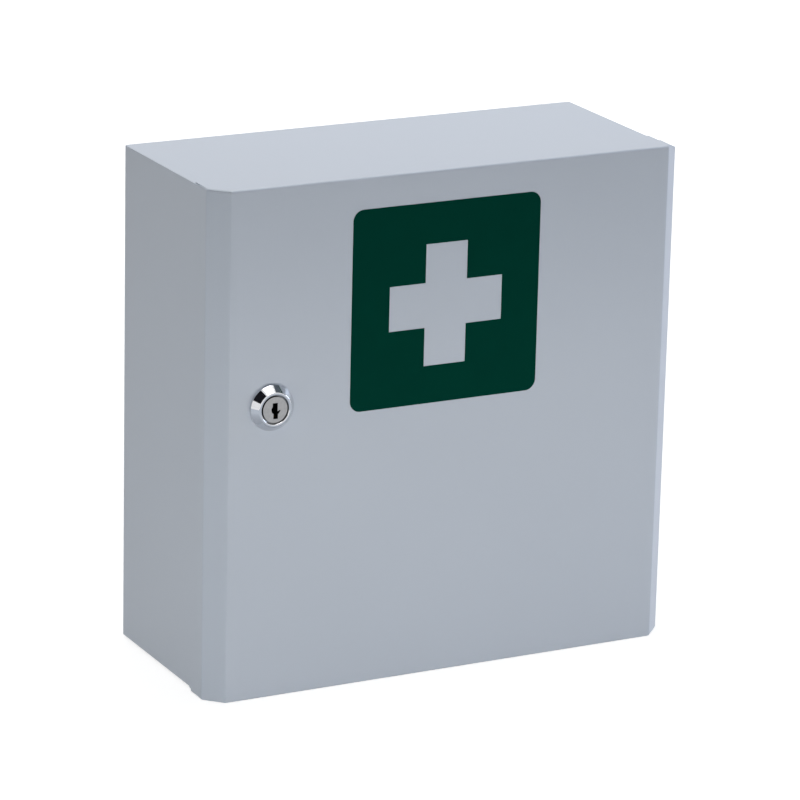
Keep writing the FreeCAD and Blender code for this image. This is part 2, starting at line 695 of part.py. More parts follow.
def hollow_door(body):
    """Hollow the block out to one sheet's thickness, lower on the hinge side, where the corners slope."""
    past_rear = "door_rear + cut_overrun"
    front_part = sketch_on(body, "XY_Plane")
    draw_polygon(front_part, (
        ("door_left + sheet", past_rear),
        ("door_left + sheet", "inner_bend_y"),
        ("door_left + door_chamfer + bend_shift", "door_inner"),
        ("inner_bend_x", "door_inner"),
        ("inner_bend_x", past_rear),
    ))
    pocket(body, front_part, "2 * (door_top - sheet)", symmetric=True)

    hinge_part = sketch_on(body, "XY_Plane", "rim_bottom + sheet")
    draw_polygon(hinge_part, (
        ("inner_bend_x", past_rear),
        ("inner_bend_x", "door_inner"),
        ("door_right - sheet", "inner_bend_y"),
        ("door_right - sheet", past_rear),
    ))
    pocket(body, hinge_part, "rim_top - rim_bottom - 2 * sheet", reverse=True)

    under_slopes = sketch_on(body, "XZ_Plane", "-inner_bend_y")
    beside_case = sketch_on(body, "XZ_Plane", "-rim_front + lap_relief")
    for under_edge, under_slope, past_end in (
        ("door_top - sheet", "rim_top - sheet", "door_top + cut_overrun"),
        ("-door_top + sheet", "rim_bottom + sheet", "-door_top - cut_overrun"),
    ):
        draw_polygon(under_slopes, (
            ("inner_bend_x", under_slope),
            ("inner_bend_x", under_edge),
            ("flange_end", under_edge),
            ("door_right - sheet", under_slope),
        ))
        draw_rectangle(beside_case, ("flange_end", under_slope), ("door_right - sheet", past_end))
    pocket(body, under_slopes, "door_rim_depth")
    # Beside the case there is no slope, so that the case's corner has room when the door swings.
    pocket(body, beside_case, "door_rim_depth")


def trim_left_corners(body):
    """Cut the back corners of the door's left rim on a slant, so that they don't stand out over the case."""
    sketch = sketch_on(body, "YZ_Plane", "door_left + sheet")
    bend = "door_front + door_chamfer"
    past_rear = "door_rear + cut_overrun"
    for edge, corner, past_end in (
        ("door_top", "door_top - upper_corner_trim", "door_top + cut_overrun"),
        ("-door_top", "-door_top + lower_corner_trim", "-door_top - cut_overrun"),
    ):
        draw_polygon(sketch, (
            (bend, edge),
            ("door_rear", corner),
            (past_rear, corner),
            (past_rear, past_end),
            (bend, past_end),
        ))
    pocket(body, sketch, "sheet + cut_overrun")


def make_door_pan():
    """The door: a folded pan with 45 degree side edges and a rim that laps over the case."""
    body = new_body("door_pan")
    outside = sketch_on(body, "XY_Plane")
    draw_polygon(outside, (
        ("door_left", "door_rear"),
        ("door_left", "door_front + door_chamfer"),
        ("door_left + door_chamfer", "door_front"),
        ("door_right - door_chamfer", "door_front"),
        ("door_right", "door_front + door_chamfer"),
        ("door_right", "door_rear"),
    ))
    pad(body, outside, "2 * door_top", symmetric=True)
    rear = value_of("door_rear")
    half_sheet = value_of("sheet / 2")

    def at_side_bend(edge):
        return runs_along(edge, ALONG_Z) and edge.CenterOfMass.y < rear - half_sheet

    round_edges(body, "bend_radius", at_side_bend)

    # The folds at the top and bottom are rounded from the front on, and the rounding runs on along the sides.
    front = value_of("door_front")
    top = value_of("door_top")

    def at_long_fold(edge):
        middle = edge.CenterOfMass
        near = abs(middle.y - front) < half_sheet and abs(abs(middle.z) - top) < half_sheet
        return near and runs_along(edge, ALONG_X)

    round_edges(body, "bend_radius", at_long_fold)
    slope_right_corners(body)
    hollow_door(body)
    trim_left_corners(body)

    lock_hole = sketch_on(body, "XZ_Plane", "cabinet_depth")
    radius = "barrel_radius + barrel_clearance"
    draw_circle(lock_hole, "lock_x", "lock_rise", radius)
    pocket(body, lock_hole, "sheet + cut_overrun")

    rivet_holes = sketch_on(body, "YZ_Plane", "door_right")
    for up in rivet_heights():
        draw_circle(rivet_holes, "hinge_y - door_rivet_setback", up, "rivet_radius + running_fit")
    pocket(body, rivet_holes, "sheet + cut_overrun")
    keep(body)


def make_sign():
    """Square film with rounded corners and a cross cut out of it, so that the door shows through."""
    body = new_body("first_aid_sign")
    outline = sketch_on(body, "XZ_Plane", "cabinet_depth")
    draw_rectangle(
        outline,
        ("sign_shift - sign_width / 2", "sign_rise - sign_height / 2"),
        ("sign_shift + sign_width / 2", "sign_rise + sign_height / 2"),
    )
    pad(body, outline, "sign_thickness")
    round_edges(body, "sign_corner_radius", lambda edge: runs_along(edge, ALONG_Y))
    cross = sketch_on(body, "XZ_Plane", "cabinet_depth + sign_thickness")
    tip = "cross_length / 2"
    arm = "cross_arm / 2"
    quarter = ((tip, arm), (arm, arm), (arm, tip))
    corners = []
    for across, up, points in (("+", "+", quarter), ("-", "+", quarter[::-1]),
                               ("-", "-", quarter), ("+", "-", quarter[::-1])):
        corners += [(f"sign_shift {across} {x}", f"sign_rise - cross_drop {up} {z}") for x, z in points]
    draw_polygon(cross, corners)
    pocket(body, cross, "sign_thickness + cut_overrun")
    keep(body)


def place_in_lock(thing):
    """Stand a piece of the lock on its axis, with its own +Z out of the door's front."""
    return set_place(thing, "lock_x", "door_front", "lock_rise", Z_TO_FRONT)


def make_lock_housing():
    """Die-cast barrel with a conical head, two flats and a channel for the wafers."""
    body = turned("lock_housing", (
        ("plug_radius + running_fit", "-barrel_length"),
        ("barrel_radius", "-barrel_length"),
        ("barrel_radius", "0"),
        ("head_radius", "0"),
        ("head_radius", "head_rim_height"),
        ("lip_radius", "head_height"),
        ("recess_radius", "head_height"),
        ("recess_radius", "recess_floor"),
        ("plug_radius + running_fit", "recess_floor"),
    ))
    lip_radius = value_of("lip_radius")
    lip_height = value_of("head_height")
    rim_height = value_of("head_rim_height")

    def at_lip(edge):
        corner = edge.Vertexes[0].Point
        at_height = abs(corner.z - lip_height) < rim_height
        return at_height and abs(Vector(corner.x, corner.y).Length - lip_radius) < rim_height

    round_edges(body, "lip_edge_radius", at_lip)
    flats = sketch_on(body, "XY_Plane")
    for flip in ("", "-"):
        draw_rectangle(
            flats,
            (f"{flip}barrel_flat_radius", "-barrel_radius - cut_overrun"),
            (f"{flip}(barrel_radius + cut_overrun)", "barrel_radius + cut_overrun"),
        )
    pocket(body, flats, "barrel_length + cut_overrun")
    channel = sketch_on(body, "XY_Plane", "face_level - first_wafer_depth + wafer_clearance")
    reach = "(plug_radius + barrel_radius) / 2"
    draw_rectangle(channel, ("-wafer_slot_side", f"-{reach}"), ("wafer_slot_side", reach))
    pocket(body, channel, f"{WAFER_COUNT} * wafer_pitch")
    keep(place_in_lock(body))


def make_lock_nut_and_washer():
    """Washer and hexagon nut that clamp the lock to the door's sheet."""
    bore = "barrel_radius + barrel_clearance"
    washer_back = "door_inner + lock_washer_sheet"
    washer = cylinder("lock_washer_disc", "lock_washer_radius", "lock_washer_sheet",
                      ("lock_x", washer_back, "lock_rise"), Z_TO_FRONT)
    washer_bore = cylinder("lock_washer_bore", bore, "lock_washer_sheet + 2 * cut_overrun",
                           ("lock_x", f"{washer_back} + cut_overrun", "lock_rise"), Z_TO_FRONT)
    keep(cut("lock_washer", washer, [washer_bore]))
    nut_back = f"{washer_back} + lock_nut_height"
    nut = hexagon("lock_nut_blank", "lock_nut_radius", "lock_nut_height",
                  ("lock_x", nut_back, "lock_rise"), Z_TO_FRONT)
    nut_bore = cylinder("lock_nut_bore", bore, "lock_nut_height + 2 * cut_overrun",
                        ("lock_x", f"{nut_back} + cut_overrun", "lock_rise"), Z_TO_FRONT)
    keep(cut("lock_nut", nut, [nut_bore]))


def wafer_depths():
    """Depth of each wafer's slot behind the plug's face."""
    for number in range(WAFER_COUNT):
        yield number, f"first_wafer_depth + {number} * wafer_pitch"


def make_lock_plug():
    """Turning plug with its face, keyway, wafer slots and the square end that drives the cam."""
    body = turned("lock_plug", (
        ("0", "-cam_front_depth"),
        ("plug_radius", "-cam_front_depth"),
        ("plug_radius", "recess_floor + face_gap"),
        ("face_radius", "recess_floor + face_gap"),
        ("face_radius", "face_level"),
        ("0", "face_level"),
    ))
    tenon = sketch_on(body, "XY_Plane", "-tenon_end_depth")
    half = "tenon_width / 2"
    draw_rectangle(tenon, (f"-{half}", f"-{half}"), (half, half))
    pad(body, tenon, "tenon_end_depth - cam_front_depth")

    screw_hole = sketch_on(body, "XY_Plane", "-tenon_end_depth")
    draw_circle(screw_hole, "0", "0", "cam_screw_radius + running_fit")
    pocket(body, screw_hole, "tenon_end_depth - screw_hole_depth", reverse=True)

    keyway = sketch_on(body, "XY_Plane", "face_level")
    draw_polygon(keyway, [
        (f"{across} * keyway_width / 2", f"{up} * keyway_height / 2 - keyway_drop")
        for across, up in KEYWAY_SHARES
    ])
    pocket(body, keyway, "face_level + screw_hole_depth - keyway_end_gap")

    for _, depth in wafer_depths():
        slot = sketch_on(body, "XY_Plane", f"face_level - ({depth})")
        reach = "plug_radius + cut_overrun"
        bay_top = "wafer_shoulder_rise + 2 * wafer_shoulder_height"
        draw_polygon(slot, (
            ("-wafer_slot_side", f"-({reach})"),
            ("wafer_slot_side", f"-({reach})"),
            ("wafer_slot_side", "spring_foot"),
            ("wafer_bay_side", "spring_foot"),
            ("wafer_bay_side", bay_top),
            ("wafer_slot_side", bay_top),
            ("wafer_slot_side", reach),
            ("-wafer_slot_side", reach),
        ))
        pocket(body, slot, "wafer_slot")
    keep(place_in_lock(body))


def make_wafers_and_springs():
    """Wafers drawn back into the plug, each on its own spring."""
    wafers = []
    springs = []
    for number, depth in wafer_depths():
        body = new_body(f"wafer{number}")
        plate = sketch_on(body, "XY_Plane", f"face_level - ({depth}) - wafer_clearance")
        side = "wafer_width / 2"
        top = "wafer_height / 2"
        shoulder = f"{side} + wafer_shoulder_reach"
        draw_polygon(plate, (
            (f"-{side}", f"-{top}"),
            (side, f"-{top}"),
            (side, "wafer_shoulder_rise"),
            (shoulder, "wafer_shoulder_rise"),
            (shoulder, "wafer_shoulder_rise + wafer_shoulder_height"),
            (side, "wafer_shoulder_rise + wafer_shoulder_height"),
            (side, top),
            (f"-{side}", top),
        ))
        window_side = "wafer_window_width / 2"
        window_top = "wafer_window_height / 2"
        draw_rectangle(
            plate,
            (f"-{window_side}", f"-{window_top} - wafer_window_drop"),
            (window_side, f"{window_top} - wafer_window_drop"),
        )
        pad(body, plate, "wafer_sheet", reverse=True)
        wafers.append(place_in_lock(body))

        foot = (
            "lock_x + spring_x",
            f"door_front - face_level + {depth} + wafer_slot / 2",
            "lock_rise + spring_foot",
        )
        coil = cylinder(f"spring{number}_outside", "spring_radius", "spring_length", foot)
        bore = cylinder(f"spring{number}_inside", "spring_radius - spring_wall", "spring_length", foot)
        springs.append(cut(f"spring{number}", coil, [bore]))
    keep(group("lock_wafers", wafers))
    keep(group("wafer_springs", springs))


def make_lock_cam():
    """Flat cam that points down when the lock is open and catches the case's left flange when it is shut."""
    body = new_body("lock_cam")
    hub = sketch_on(body, "XY_Plane", "-cam_back_depth")
    draw_circle(hub, "0", "0", "cam_hub_radius")
    pad(body, hub, "cam_sheet")
    arm = sketch_on(body, "XY_Plane", "-cam_back_depth")
    draw_rectangle(arm, ("-cam_width / 2", "-cam_length"), ("cam_width / 2", "0"))
    pad(body, arm, "cam_sheet")
    tip = -value_of("cam_length")
    half_sheet = value_of("cam_sheet / 2")

    def at_tip(edge):
        return runs_along(edge, ALONG_Z) and abs(edge.CenterOfMass.y - tip) < half_sheet

    round_edges(body, "cam_tip_radius", at_tip)
    window = sketch_on(body, "XY_Plane", "-cam_front_depth")
    half = "tenon_width / 2 + tenon_clearance"
    draw_rectangle(window, (f"-({half})", f"-({half})"), (half, half))
    pocket(body, window, "cam_sheet + cut_overrun")
    keep(place_in_lock(body))


def make_cam_fasteners():
    """Washer and hexagon screw that hold the cam on the plug."""
    seat = "door_front + cam_back_depth + cam_washer_sheet"
    disc = cylinder("cam_washer_disc", "cam_washer_radius", "cam_washer_sheet",
                    ("lock_x", seat, "lock_rise"), Z_TO_FRONT)
    bore = cylinder("cam_washer_bore", "cam_screw_radius + running_fit", "cam_washer_sheet + 2 * cut_overrun",
                    ("lock_x", f"{seat} + cut_overrun", "lock_rise"), Z_TO_FRONT)
    keep(cut("cam_washer", disc, [bore]))
    head = hexagon("cam_screw_head", "cam_screw_head_radius", "cam_screw_head_height",
                   ("lock_x", f"{seat} + cam_screw_head_height", "lock_rise"), Z_TO_FRONT)
    shank = cylinder("cam_screw_shank", "cam_screw_radius", "cam_screw_length",
                     ("lock_x", seat, "lock_rise"), Z_TO_FRONT)
    keep(fuse("cam_screw", [head, shank]))


def write_parts():
    """Check every object, then write each finished sub-part to its own file."""
    doc.recompute()
    faults = [thing.Name for thing in doc.Objects if "Invalid" in thing.State or "Error" in thing.State]
    for part in parts:
        if part.Shape.isNull() or not part.Shape.isValid():
            faults.append(part.Label)
    if faults:
        raise RuntimeError("failed: " + ", ".join(faults))
    os.makedirs("parts", exist_ok=True)
    for part in parts:
        part.Shape.exportStep(f"parts/{part.Label}.step")
        print(f"{part.Label}: {len(part.Shape.Solids)} solids, {part.Shape.Volume:.2f} mm3")


fill_sheet()
make_cabinet_shell()
make_end_panel("top_panel", 1)
make_end_panel("bottom_panel", -1)
make_shelf()
make_shelf_rails()
make_door_buffers()
for hinge_level, hinge_middle in hinge_places():
    make_hinge(hinge_level, hinge_middle)
make_rivets()
make_door_pan()
make_sign()
make_lock_housing()
make_lock_nut_and_washer()
make_lock_plug()
make_wafers_and_springs()
make_lock_cam()
make_cam_fasteners()
write_parts()
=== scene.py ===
"""Looks of a wall-hung first aid cabinet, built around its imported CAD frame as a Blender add-on."""

import json
import math

import bpy
from mathutils import Matrix, Vector


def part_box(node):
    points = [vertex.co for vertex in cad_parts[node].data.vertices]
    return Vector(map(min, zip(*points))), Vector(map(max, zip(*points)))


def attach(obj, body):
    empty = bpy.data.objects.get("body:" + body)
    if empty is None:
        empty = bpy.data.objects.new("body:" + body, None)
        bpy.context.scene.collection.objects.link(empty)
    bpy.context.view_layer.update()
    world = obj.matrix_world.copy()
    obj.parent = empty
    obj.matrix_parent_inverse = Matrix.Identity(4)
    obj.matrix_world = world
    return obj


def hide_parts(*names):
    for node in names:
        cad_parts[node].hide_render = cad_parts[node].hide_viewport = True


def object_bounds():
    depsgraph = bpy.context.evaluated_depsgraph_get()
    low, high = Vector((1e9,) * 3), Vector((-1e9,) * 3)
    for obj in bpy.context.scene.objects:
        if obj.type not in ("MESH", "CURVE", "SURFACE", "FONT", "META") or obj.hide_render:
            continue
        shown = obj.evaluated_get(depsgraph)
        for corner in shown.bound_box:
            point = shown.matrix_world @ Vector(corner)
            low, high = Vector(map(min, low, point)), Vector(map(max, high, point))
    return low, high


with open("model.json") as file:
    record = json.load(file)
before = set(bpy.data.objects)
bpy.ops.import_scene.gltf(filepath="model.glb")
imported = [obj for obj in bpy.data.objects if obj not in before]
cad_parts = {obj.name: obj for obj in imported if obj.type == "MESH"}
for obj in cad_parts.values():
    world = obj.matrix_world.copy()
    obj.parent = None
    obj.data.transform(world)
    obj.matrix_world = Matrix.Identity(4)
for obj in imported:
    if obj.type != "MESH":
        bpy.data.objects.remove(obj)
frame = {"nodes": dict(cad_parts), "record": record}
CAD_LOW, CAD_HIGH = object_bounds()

bl_info = {
    "name": "First Aid Cabinet",
    "version": (1, 0, 0),
    "blender": (4, 5, 0),
    "location": "View3D > Sidebar > Cabinet",
    "description": "Finishes and small hardware for a sheet-steel first aid cabinet",
    "category": "Object",
}

MM = 0.001
QUARTER_TURN = math.radians(90)
TOWARDS_FRONT = (QUARTER_TURN, 0.0, 0.0)
TOWARDS_BACK = (-QUARTER_TURN, 0.0, 0.0)
TOWARDS_RIGHT = (0.0, QUARTER_TURN, 0.0)
MERGE_DISTANCE = 0.002 * MM
SMOOTH_BELOW = math.radians(35)

# Hexagons: half the angle of a side, the slope of the chamfer, and a prism longer than any blank.
HALF_SIDE = math.radians(30)
CHAMFER_SLOPE = math.tan(math.radians(30))
PRISM_LENGTH = 40 * MM

# Painted shade in the lock: the dark colour put in the gap round the plug and in the keyway, where shade
# falls, the roughness it adds, its share and radius round the plug, and where it starts behind the plug's
# face.
LOCK_PAINTED_SHADE = (0.012, 0.012, 0.013)
PAINTED_SHADE_ROUGHNESS = 0.4
GAP_PAINTED_SHADE = 0.6
GAP_RADIUS = 7.02 * MM
GAP_START = 0.1 * MM
KEYWAY_START = 0.12 * MM

# The toothed washer: radii of its bore, its middle, its teeth's roots and their tips, in millimetres, its
# sheet's thickness and rounded edge, how far a tooth is set, and the points of the ring that go to a tooth.
WASHER_RADII = (8.7, 9.6, 10.3, 11.9)
WASHER_SHEET = 0.45 * MM
WASHER_EDGE = 0.08 * MM
TOOTH_SET = 0.14 * MM
TOOTH_STEPS = 4

# The nut's bore, in millimetres: its countersinks' radius and depth, and its thread's crests and grooves.
COUNTERSINK_RADIUS = 9.4
COUNTERSINK_DEPTH = 0.6
CREST_RADIUS = 8.78
GROOVE_RADIUS = 9.2

# The barrel's thread: its ridge's size as a share of the pitch, its radius in millimetres and its turns, half
# the barrel's width over the flats, and its plain end.
RIDGE_SHARE = 0.42
THREAD_RADIUS = 8.42
THREAD_TURNS = 11
HALF_FLATS = 7.55 * MM
PLAIN_END = 0.6 * MM

# A spring's wire and turns, and the length of a rivet's set end, in millimetres.
SPRING_WIRE = 0.075
SPRING_TURNS = 9
RIVET_SET_END = 0.8

# The floor: its size, its gap under the cabinet, its greys for the light it gives back and for the eye, and
# its glow under the cabinet with what is added a metre away.
FLOOR_SIZE = 12.0
FLOOR_GAP = 0.05 * MM
FLOOR_LIT = (0.6, 0.6, 0.6)
FLOOR_SEEN = (0.35, 0.35, 0.35)
FLOOR_NEAR_GLOW = 0.85
FLOOR_FAR_GLOW = 0.15

SENSOR_WIDTH = 36.0
CLIP_END = 50.0

# Lamps: name, property with the power, place, size, colour, and whether polished surfaces show it.
WHITE = (1.0, 1.0, 1.0)
COOL = (0.612, 0.747, 1.0)
WARM = (1.0, 0.967, 0.912)
MILD = (0.944, 0.983, 1.0)
LAMPS = (
    ("Softbox above", "softbox_power", (-0.04, 0.1, 1.3), (1.08, 1.0), WHITE, True),
    ("Lamp at the right", "side_power", (1.45, -0.25, 0.5), (0.6, 0.8), COOL, True),
    ("Strip in front", "front_power", (0.0, -0.5, -0.108), (0.9, 0.03), WARM, False),
    ("Strip at the left", "left_power", (-0.65, -0.23, -0.095), (0.6, 0.05), MILD, False),
    ("Near strip at the left", "near_left_power", (-0.45, -0.1, -0.105), (0.4, 0.03), MILD, False),
    ("Lamp behind", "back_power", (0.5, 1.6, 0.35), (1.2, 0.8), WHITE, False),
)

# Cards that only polished surfaces see: painted dark and grey reflections, and a painted highlight.
# Name, place, the way its back faces, size and colour. The last two take the grey card's colour.
UP = (0, 0, 1)
DOWN = (0, 0, -1)
BLACK = (0.012, 0.012, 0.015)
SLATE = (0.1, 0.12, 0.14)
# The glow of the painted highlight that the door's top fold shows.
PAINTED_HIGHLIGHT = (7.5, 7.7, 8.0)
CARDS = (
    ("Dark flag at the left", (-0.8, -0.15, 0.83), (-0.92, 0, 0.4), (1.2, 1.0), BLACK),
    ("Slate flag at the right", (0.86, -0.475, 0.895), (0.79, 0, 0.68), (0.85, 1.04), SLATE),
    ("White card above", (0.66, 0.25, 1.32), UP, (0.6, 0.45), PAINTED_HIGHLIGHT),
    ("Grey card in front", (-0.12, -0.55175, CAD_LOW.z), DOWN, (1.75, 0.8965), None),
    ("Grey card at the corner", (-0.165, -0.0965, CAD_LOW.z), DOWN, (0.08, 0.014), None),
)
# Painted shade on the cards: the share of a card's light that is left next to the cabinet, and how soon the
# rest comes back.
CARD_PAINTED_SHADE_SHARE = 0.6
CARD_FADE = 5.0

FINISH_NAMES = {
    "case_paint": "Cabinet powder coat",
    "door_paint": "Door powder coat",
    "sign_film": "Sign film",
    "buffer_rubber": "Buffer rubber",
    "hinge_zinc": "Hinge zinc plate",
    "pin_steel": "Drawn pin steel",
    "rivet_aluminium": "Rivet aluminium",
    "lock_chrome": "Polished chrome",
    "plug_nickel": "Brushed nickel",
    "lock_zinc": "Lock zinc plate",
    "wafer_brass": "Stamped brass",
    "spring_steel": "Spring steel",
}


def light_of(red, green, blue):
    """A colour as a screen shows it, 0 to 255, in linear light."""
    shares = (red / 255, green / 255, blue / 255)
    return tuple(s / 12.92 if s <= 0.04045 else ((s + 0.055) / 1.055) ** 2.4 for s in shares)


# Sizes and colours that a user would change.

class CabinetFinish(bpy.types.PropertyGroup):
    """Colours and gloss of the cabinet's surfaces."""

    paint: bpy.props.FloatVectorProperty(
        name="Powder coat", description="Colour of the powder coat on the case and the door",
        default=light_of(199, 208, 221), min=0, max=1, size=3, subtype="COLOR",
    )
    paint_gloss: bpy.props.FloatProperty(
        name="Powder coat roughness", description="Middle roughness of the powder coat",
        default=0.32, min=0, max=1, subtype="FACTOR",
    )
    sign: bpy.props.FloatVectorProperty(
        name="Sign green", description="Colour of the sign's film",
        default=light_of(0, 60, 49), min=0, max=1, size=3, subtype="COLOR",
    )
    rubber: bpy.props.FloatVectorProperty(
        name="Rubber", description="Colour of the door buffers",
        default=light_of(38, 38, 40), min=0, max=1, size=3, subtype="COLOR",
    )
    zinc: bpy.props.FloatVectorProperty(
        name="Zinc plate", description="Colour of the plated hinges and lock fasteners",
        default=light_of(196, 198, 202), min=0, max=1, size=3, subtype="COLOR",
    )
    chrome: bpy.props.FloatVectorProperty(
        name="Chrome", description="Colour of the polished lock head",
        default=light_of(226, 227, 230), min=0, max=1, size=3, subtype="COLOR",
    )
    nickel: bpy.props.FloatVectorProperty(
        name="Satin nickel", description="Colour of the lock's brushed plug",
        default=light_of(208, 204, 200), min=0, max=1, size=3, subtype="COLOR",
    )
    brass: bpy.props.FloatVectorProperty(
        name="Brass", description="Colour of the lock's wafers",
        default=light_of(104, 82, 52), min=0, max=1, size=3, subtype="COLOR",
    )


class CabinetStage(bpy.types.PropertyGroup):
    """Light and camera of the studio."""

    softbox_power: bpy.props.FloatProperty(
        name="Softbox", description="Power of the large lamp above the cabinet",
        default=11.9, min=0, unit="POWER",
    )
    side_power: bpy.props.FloatProperty(
        name="Side lamp", description="Power of the lamp on the right",
        default=7.09, min=0, unit="POWER",
    )
    front_power: bpy.props.FloatProperty(
        name="Front strip", description="Power of the strip near the floor in front of the door",
        default=1.241, min=0, unit="POWER",
    )
    left_power: bpy.props.FloatProperty(
        name="Left strip", description="Power of the strip near the floor on the left",
        default=0.545, min=0, unit="POWER",
    )
    near_left_power: bpy.props.FloatProperty(
        name="Near left strip", description="Power of the small strip at the left side's foot",
        default=0.071, min=0, unit="POWER",
    )
    back_power: bpy.props.FloatProperty(
        name="Back lamp", description="Power of the lamp behind the cabinet",
        default=6.0, min=0, unit="POWER",
    )
    # The grey of the painted reflection that polished metal sees in front of the door.
    card: bpy.props.FloatVectorProperty(
        name="Grey card", description="Colour that polished metal sees in front of the door",
        default=(0.58, 0.63, 0.7), min=0, max=1, size=3, subtype="COLOR",
    )
    room_light: bpy.props.FloatProperty(
        name="Room light", description="Even light from all round",
        default=0.0, min=0, soft_max=2, subtype="FACTOR",
    )
    azimuth: bpy.props.FloatProperty(
        name="Azimuth", description="How far the camera stands to the left of the door's middle",
        default=math.radians(27.518), subtype="ANGLE",
    )
    elevation: bpy.props.FloatProperty(
        name="Elevation", description="Height of the camera as an angle above the cabinet",
        default=math.radians(17.124), subtype="ANGLE",
    )
    roll: bpy.props.FloatProperty(
        name="Roll", description="Turn of the camera about its line of sight",
        default=math.radians(1.358), subtype="ANGLE",
    )
    distance: bpy.props.FloatProperty(
        name="Distance", description="From the camera to the point it looks at",
        default=2.180817, min=0.1, unit="LENGTH",
    )
    lens: bpy.props.FloatProperty(
        name="Lens", description="Focal length in millimetres on a 36 mm sensor",
        default=200.23, min=1,
    )
    target: bpy.props.FloatVectorProperty(
        name="Target", description="Point that the camera looks at",
        default=(0.002714, -0.0525, -0.003411), size=3, subtype="TRANSLATION",
    )


class CabinetHardware(bpy.types.PropertyGroup):
    """Sizes of the modelled hardware that the CAD's boxes don't give."""

    rivet_head_height: bpy.props.FloatProperty(
        name="Rivet head", description="Height of the rivets' heads", default=0.9 * MM, unit="LENGTH",
    )
    rivet_spacing: bpy.props.FloatProperty(
        name="Rivet spacing", description="From one rivet of a leaf to the other",
        default=30 * MM, unit="LENGTH",
    )
    washer_teeth: bpy.props.IntProperty(
        name="Washer teeth", description="Teeth round the lock's washer", default=16, min=6,
    )
    thread_pitch: bpy.props.FloatProperty(
        name="Thread pitch", description="Pitch of the lock barrel's thread in millimetres",
        default=1.0, min=0.3,
    )
    wafers: bpy.props.IntProperty(
        name="Wafers", description="Wafers in the lock's plug, each with its spring", default=5, min=2,
    )


# Shader maths.

class Value:
    """A socket of a node tree. Python's operators on it add Math nodes, and add() adds any other node."""

    def __init__(self, tree, socket=None):
        self.tree = tree
        self.socket = socket

    def fill(self, socket, filling):
        """Links a Value to the socket, or sets a plain number, colour or vector on it."""
        if isinstance(filling, Value):
            self.tree.links.new(filling.socket, socket)
        elif hasattr(filling, "__len__") and len(filling) == 3 and len(socket.default_value) == 4:
            socket.default_value = (*filling, 1.0)
        else:
            socket.default_value = filling

    def add(self, kind, settings=(), inputs=(), output=0):
        """Adds a node, makes its settings, fills its sockets, and returns one of its outputs."""
        node = self.tree.nodes.new(kind)
        for name, setting in dict(settings).items():
            setattr(node, name, setting)
        for key, filling in dict(inputs).items():
            self.fill(node.inputs[key], filling)
        return Value(self.tree, node.outputs[output])

    def maths(self, operation, first, second=0.0):
        """The result of a Math node on two values."""
        return self.add("ShaderNodeMath", {"operation": operation}, {0: first, 1: second})

    def __add__(self, other):
        return self.maths("ADD", self, other)

    def __radd__(self, other):
        return self.maths("ADD", other, self)

    def __sub__(self, other):
        return self.maths("SUBTRACT", self, other)

    def __rsub__(self, other):
        return self.maths("SUBTRACT", other, self)

    def __mul__(self, other):
        return self.maths("MULTIPLY", self, other)

    def __rmul__(self, other):
        return self.maths("MULTIPLY", other, self)

    def noise(self, scale, detail, stretch=(1.0, 1.0, 1.0)):
        """Noise on the piece's own coordinates, in features per metre."""
        places = self.add("ShaderNodeTexCoord", output="Object")
        mapped = self.add("ShaderNodeMapping", (), {"Vector": places, "Scale": stretch})
        return self.add("ShaderNodeTexNoise", (), {"Vector": mapped, "Scale": scale, "Detail": detail})

    def place(self, axis):
        """One of the piece's own coordinates."""
        places = self.add("ShaderNodeTexCoord", output="Object")
        return self.add("ShaderNodeSeparateXYZ", (), {"Vector": places}, axis)

    def square_from_middle(self):
        """The square of how far a point lies from the piece's own Z axis."""
        return self.place("X") * self.place("X") + self.place("Y") * self.place("Y")

    def seen(self):
        """1 for the camera's rays, also by way of polished or clear surfaces, and 0 for other light."""
        kinds = ("Is Camera Ray", "Is Glossy Ray", "Is Transmission Ray")
        eye, glossy, through = [self.add("ShaderNodeLightPath", output=kind) for kind in kinds]
        return self.maths("MINIMUM", eye + glossy + through, 1.0)

    def between(self, share, first, second):
        """The colour at that share of the way from the first to the second."""
        return self.add("ShaderNodeMix", {"data_type": "RGBA"}, {0: share, 6: first, 7: second}, 2)

    def bump(self, height, distance):
        """A normal that follows a height, where 1 stands the given distance proud."""
        return self.add("ShaderNodeBump", (), {"Height": height, "Distance": distance, "Strength": 1.0})


def dimmed(colour, share):
    """A colour with that share of its light."""
    return tuple(share * c for c in colour)


def new_finish(slot):
    """A new material for a slot of the record, with a Value to build on and its surface shader's sockets."""
    material = bpy.data.materials.new(FINISH_NAMES[slot])
    material.use_nodes = True
    shader = material.node_tree.nodes["Principled BSDF"]
    return Value(material.node_tree), shader.inputs


def new_stage_look(name):
    """A new material with no surface shader, with a Value to build on and its output's socket."""
    material = bpy.data.materials.new(name)
    material.use_nodes = True
    nodes = material.node_tree.nodes
    nodes.remove(nodes["Principled BSDF"])
    return material, Value(material.node_tree), nodes["Material Output"].inputs["Surface"]


def powder_coat(slot, finish):
    """Semi-gloss powder coat: an even colour with faint clouds and a fine orange peel."""
    tree, surface = new_finish(slot)
    clouds = tree.noise(scale=14.0, detail=3.0)
    peel = tree.noise(scale=700.0, detail=2.0)
    grain = tree.noise(scale=3800.0, detail=1.0)
    colour = tree.between(clouds, dimmed(finish.paint, 0.985), dimmed(finish.paint, 1.015))
    tree.fill(surface["Base Color"], colour)
    tree.fill(surface["Roughness"], finish.paint_gloss - 0.04 + 0.08 * clouds)
    tree.fill(surface["Normal"], tree.bump(peel + 0.25 * grain, distance=0.012 * MM))
    surface["IOR"].default_value = 1.5


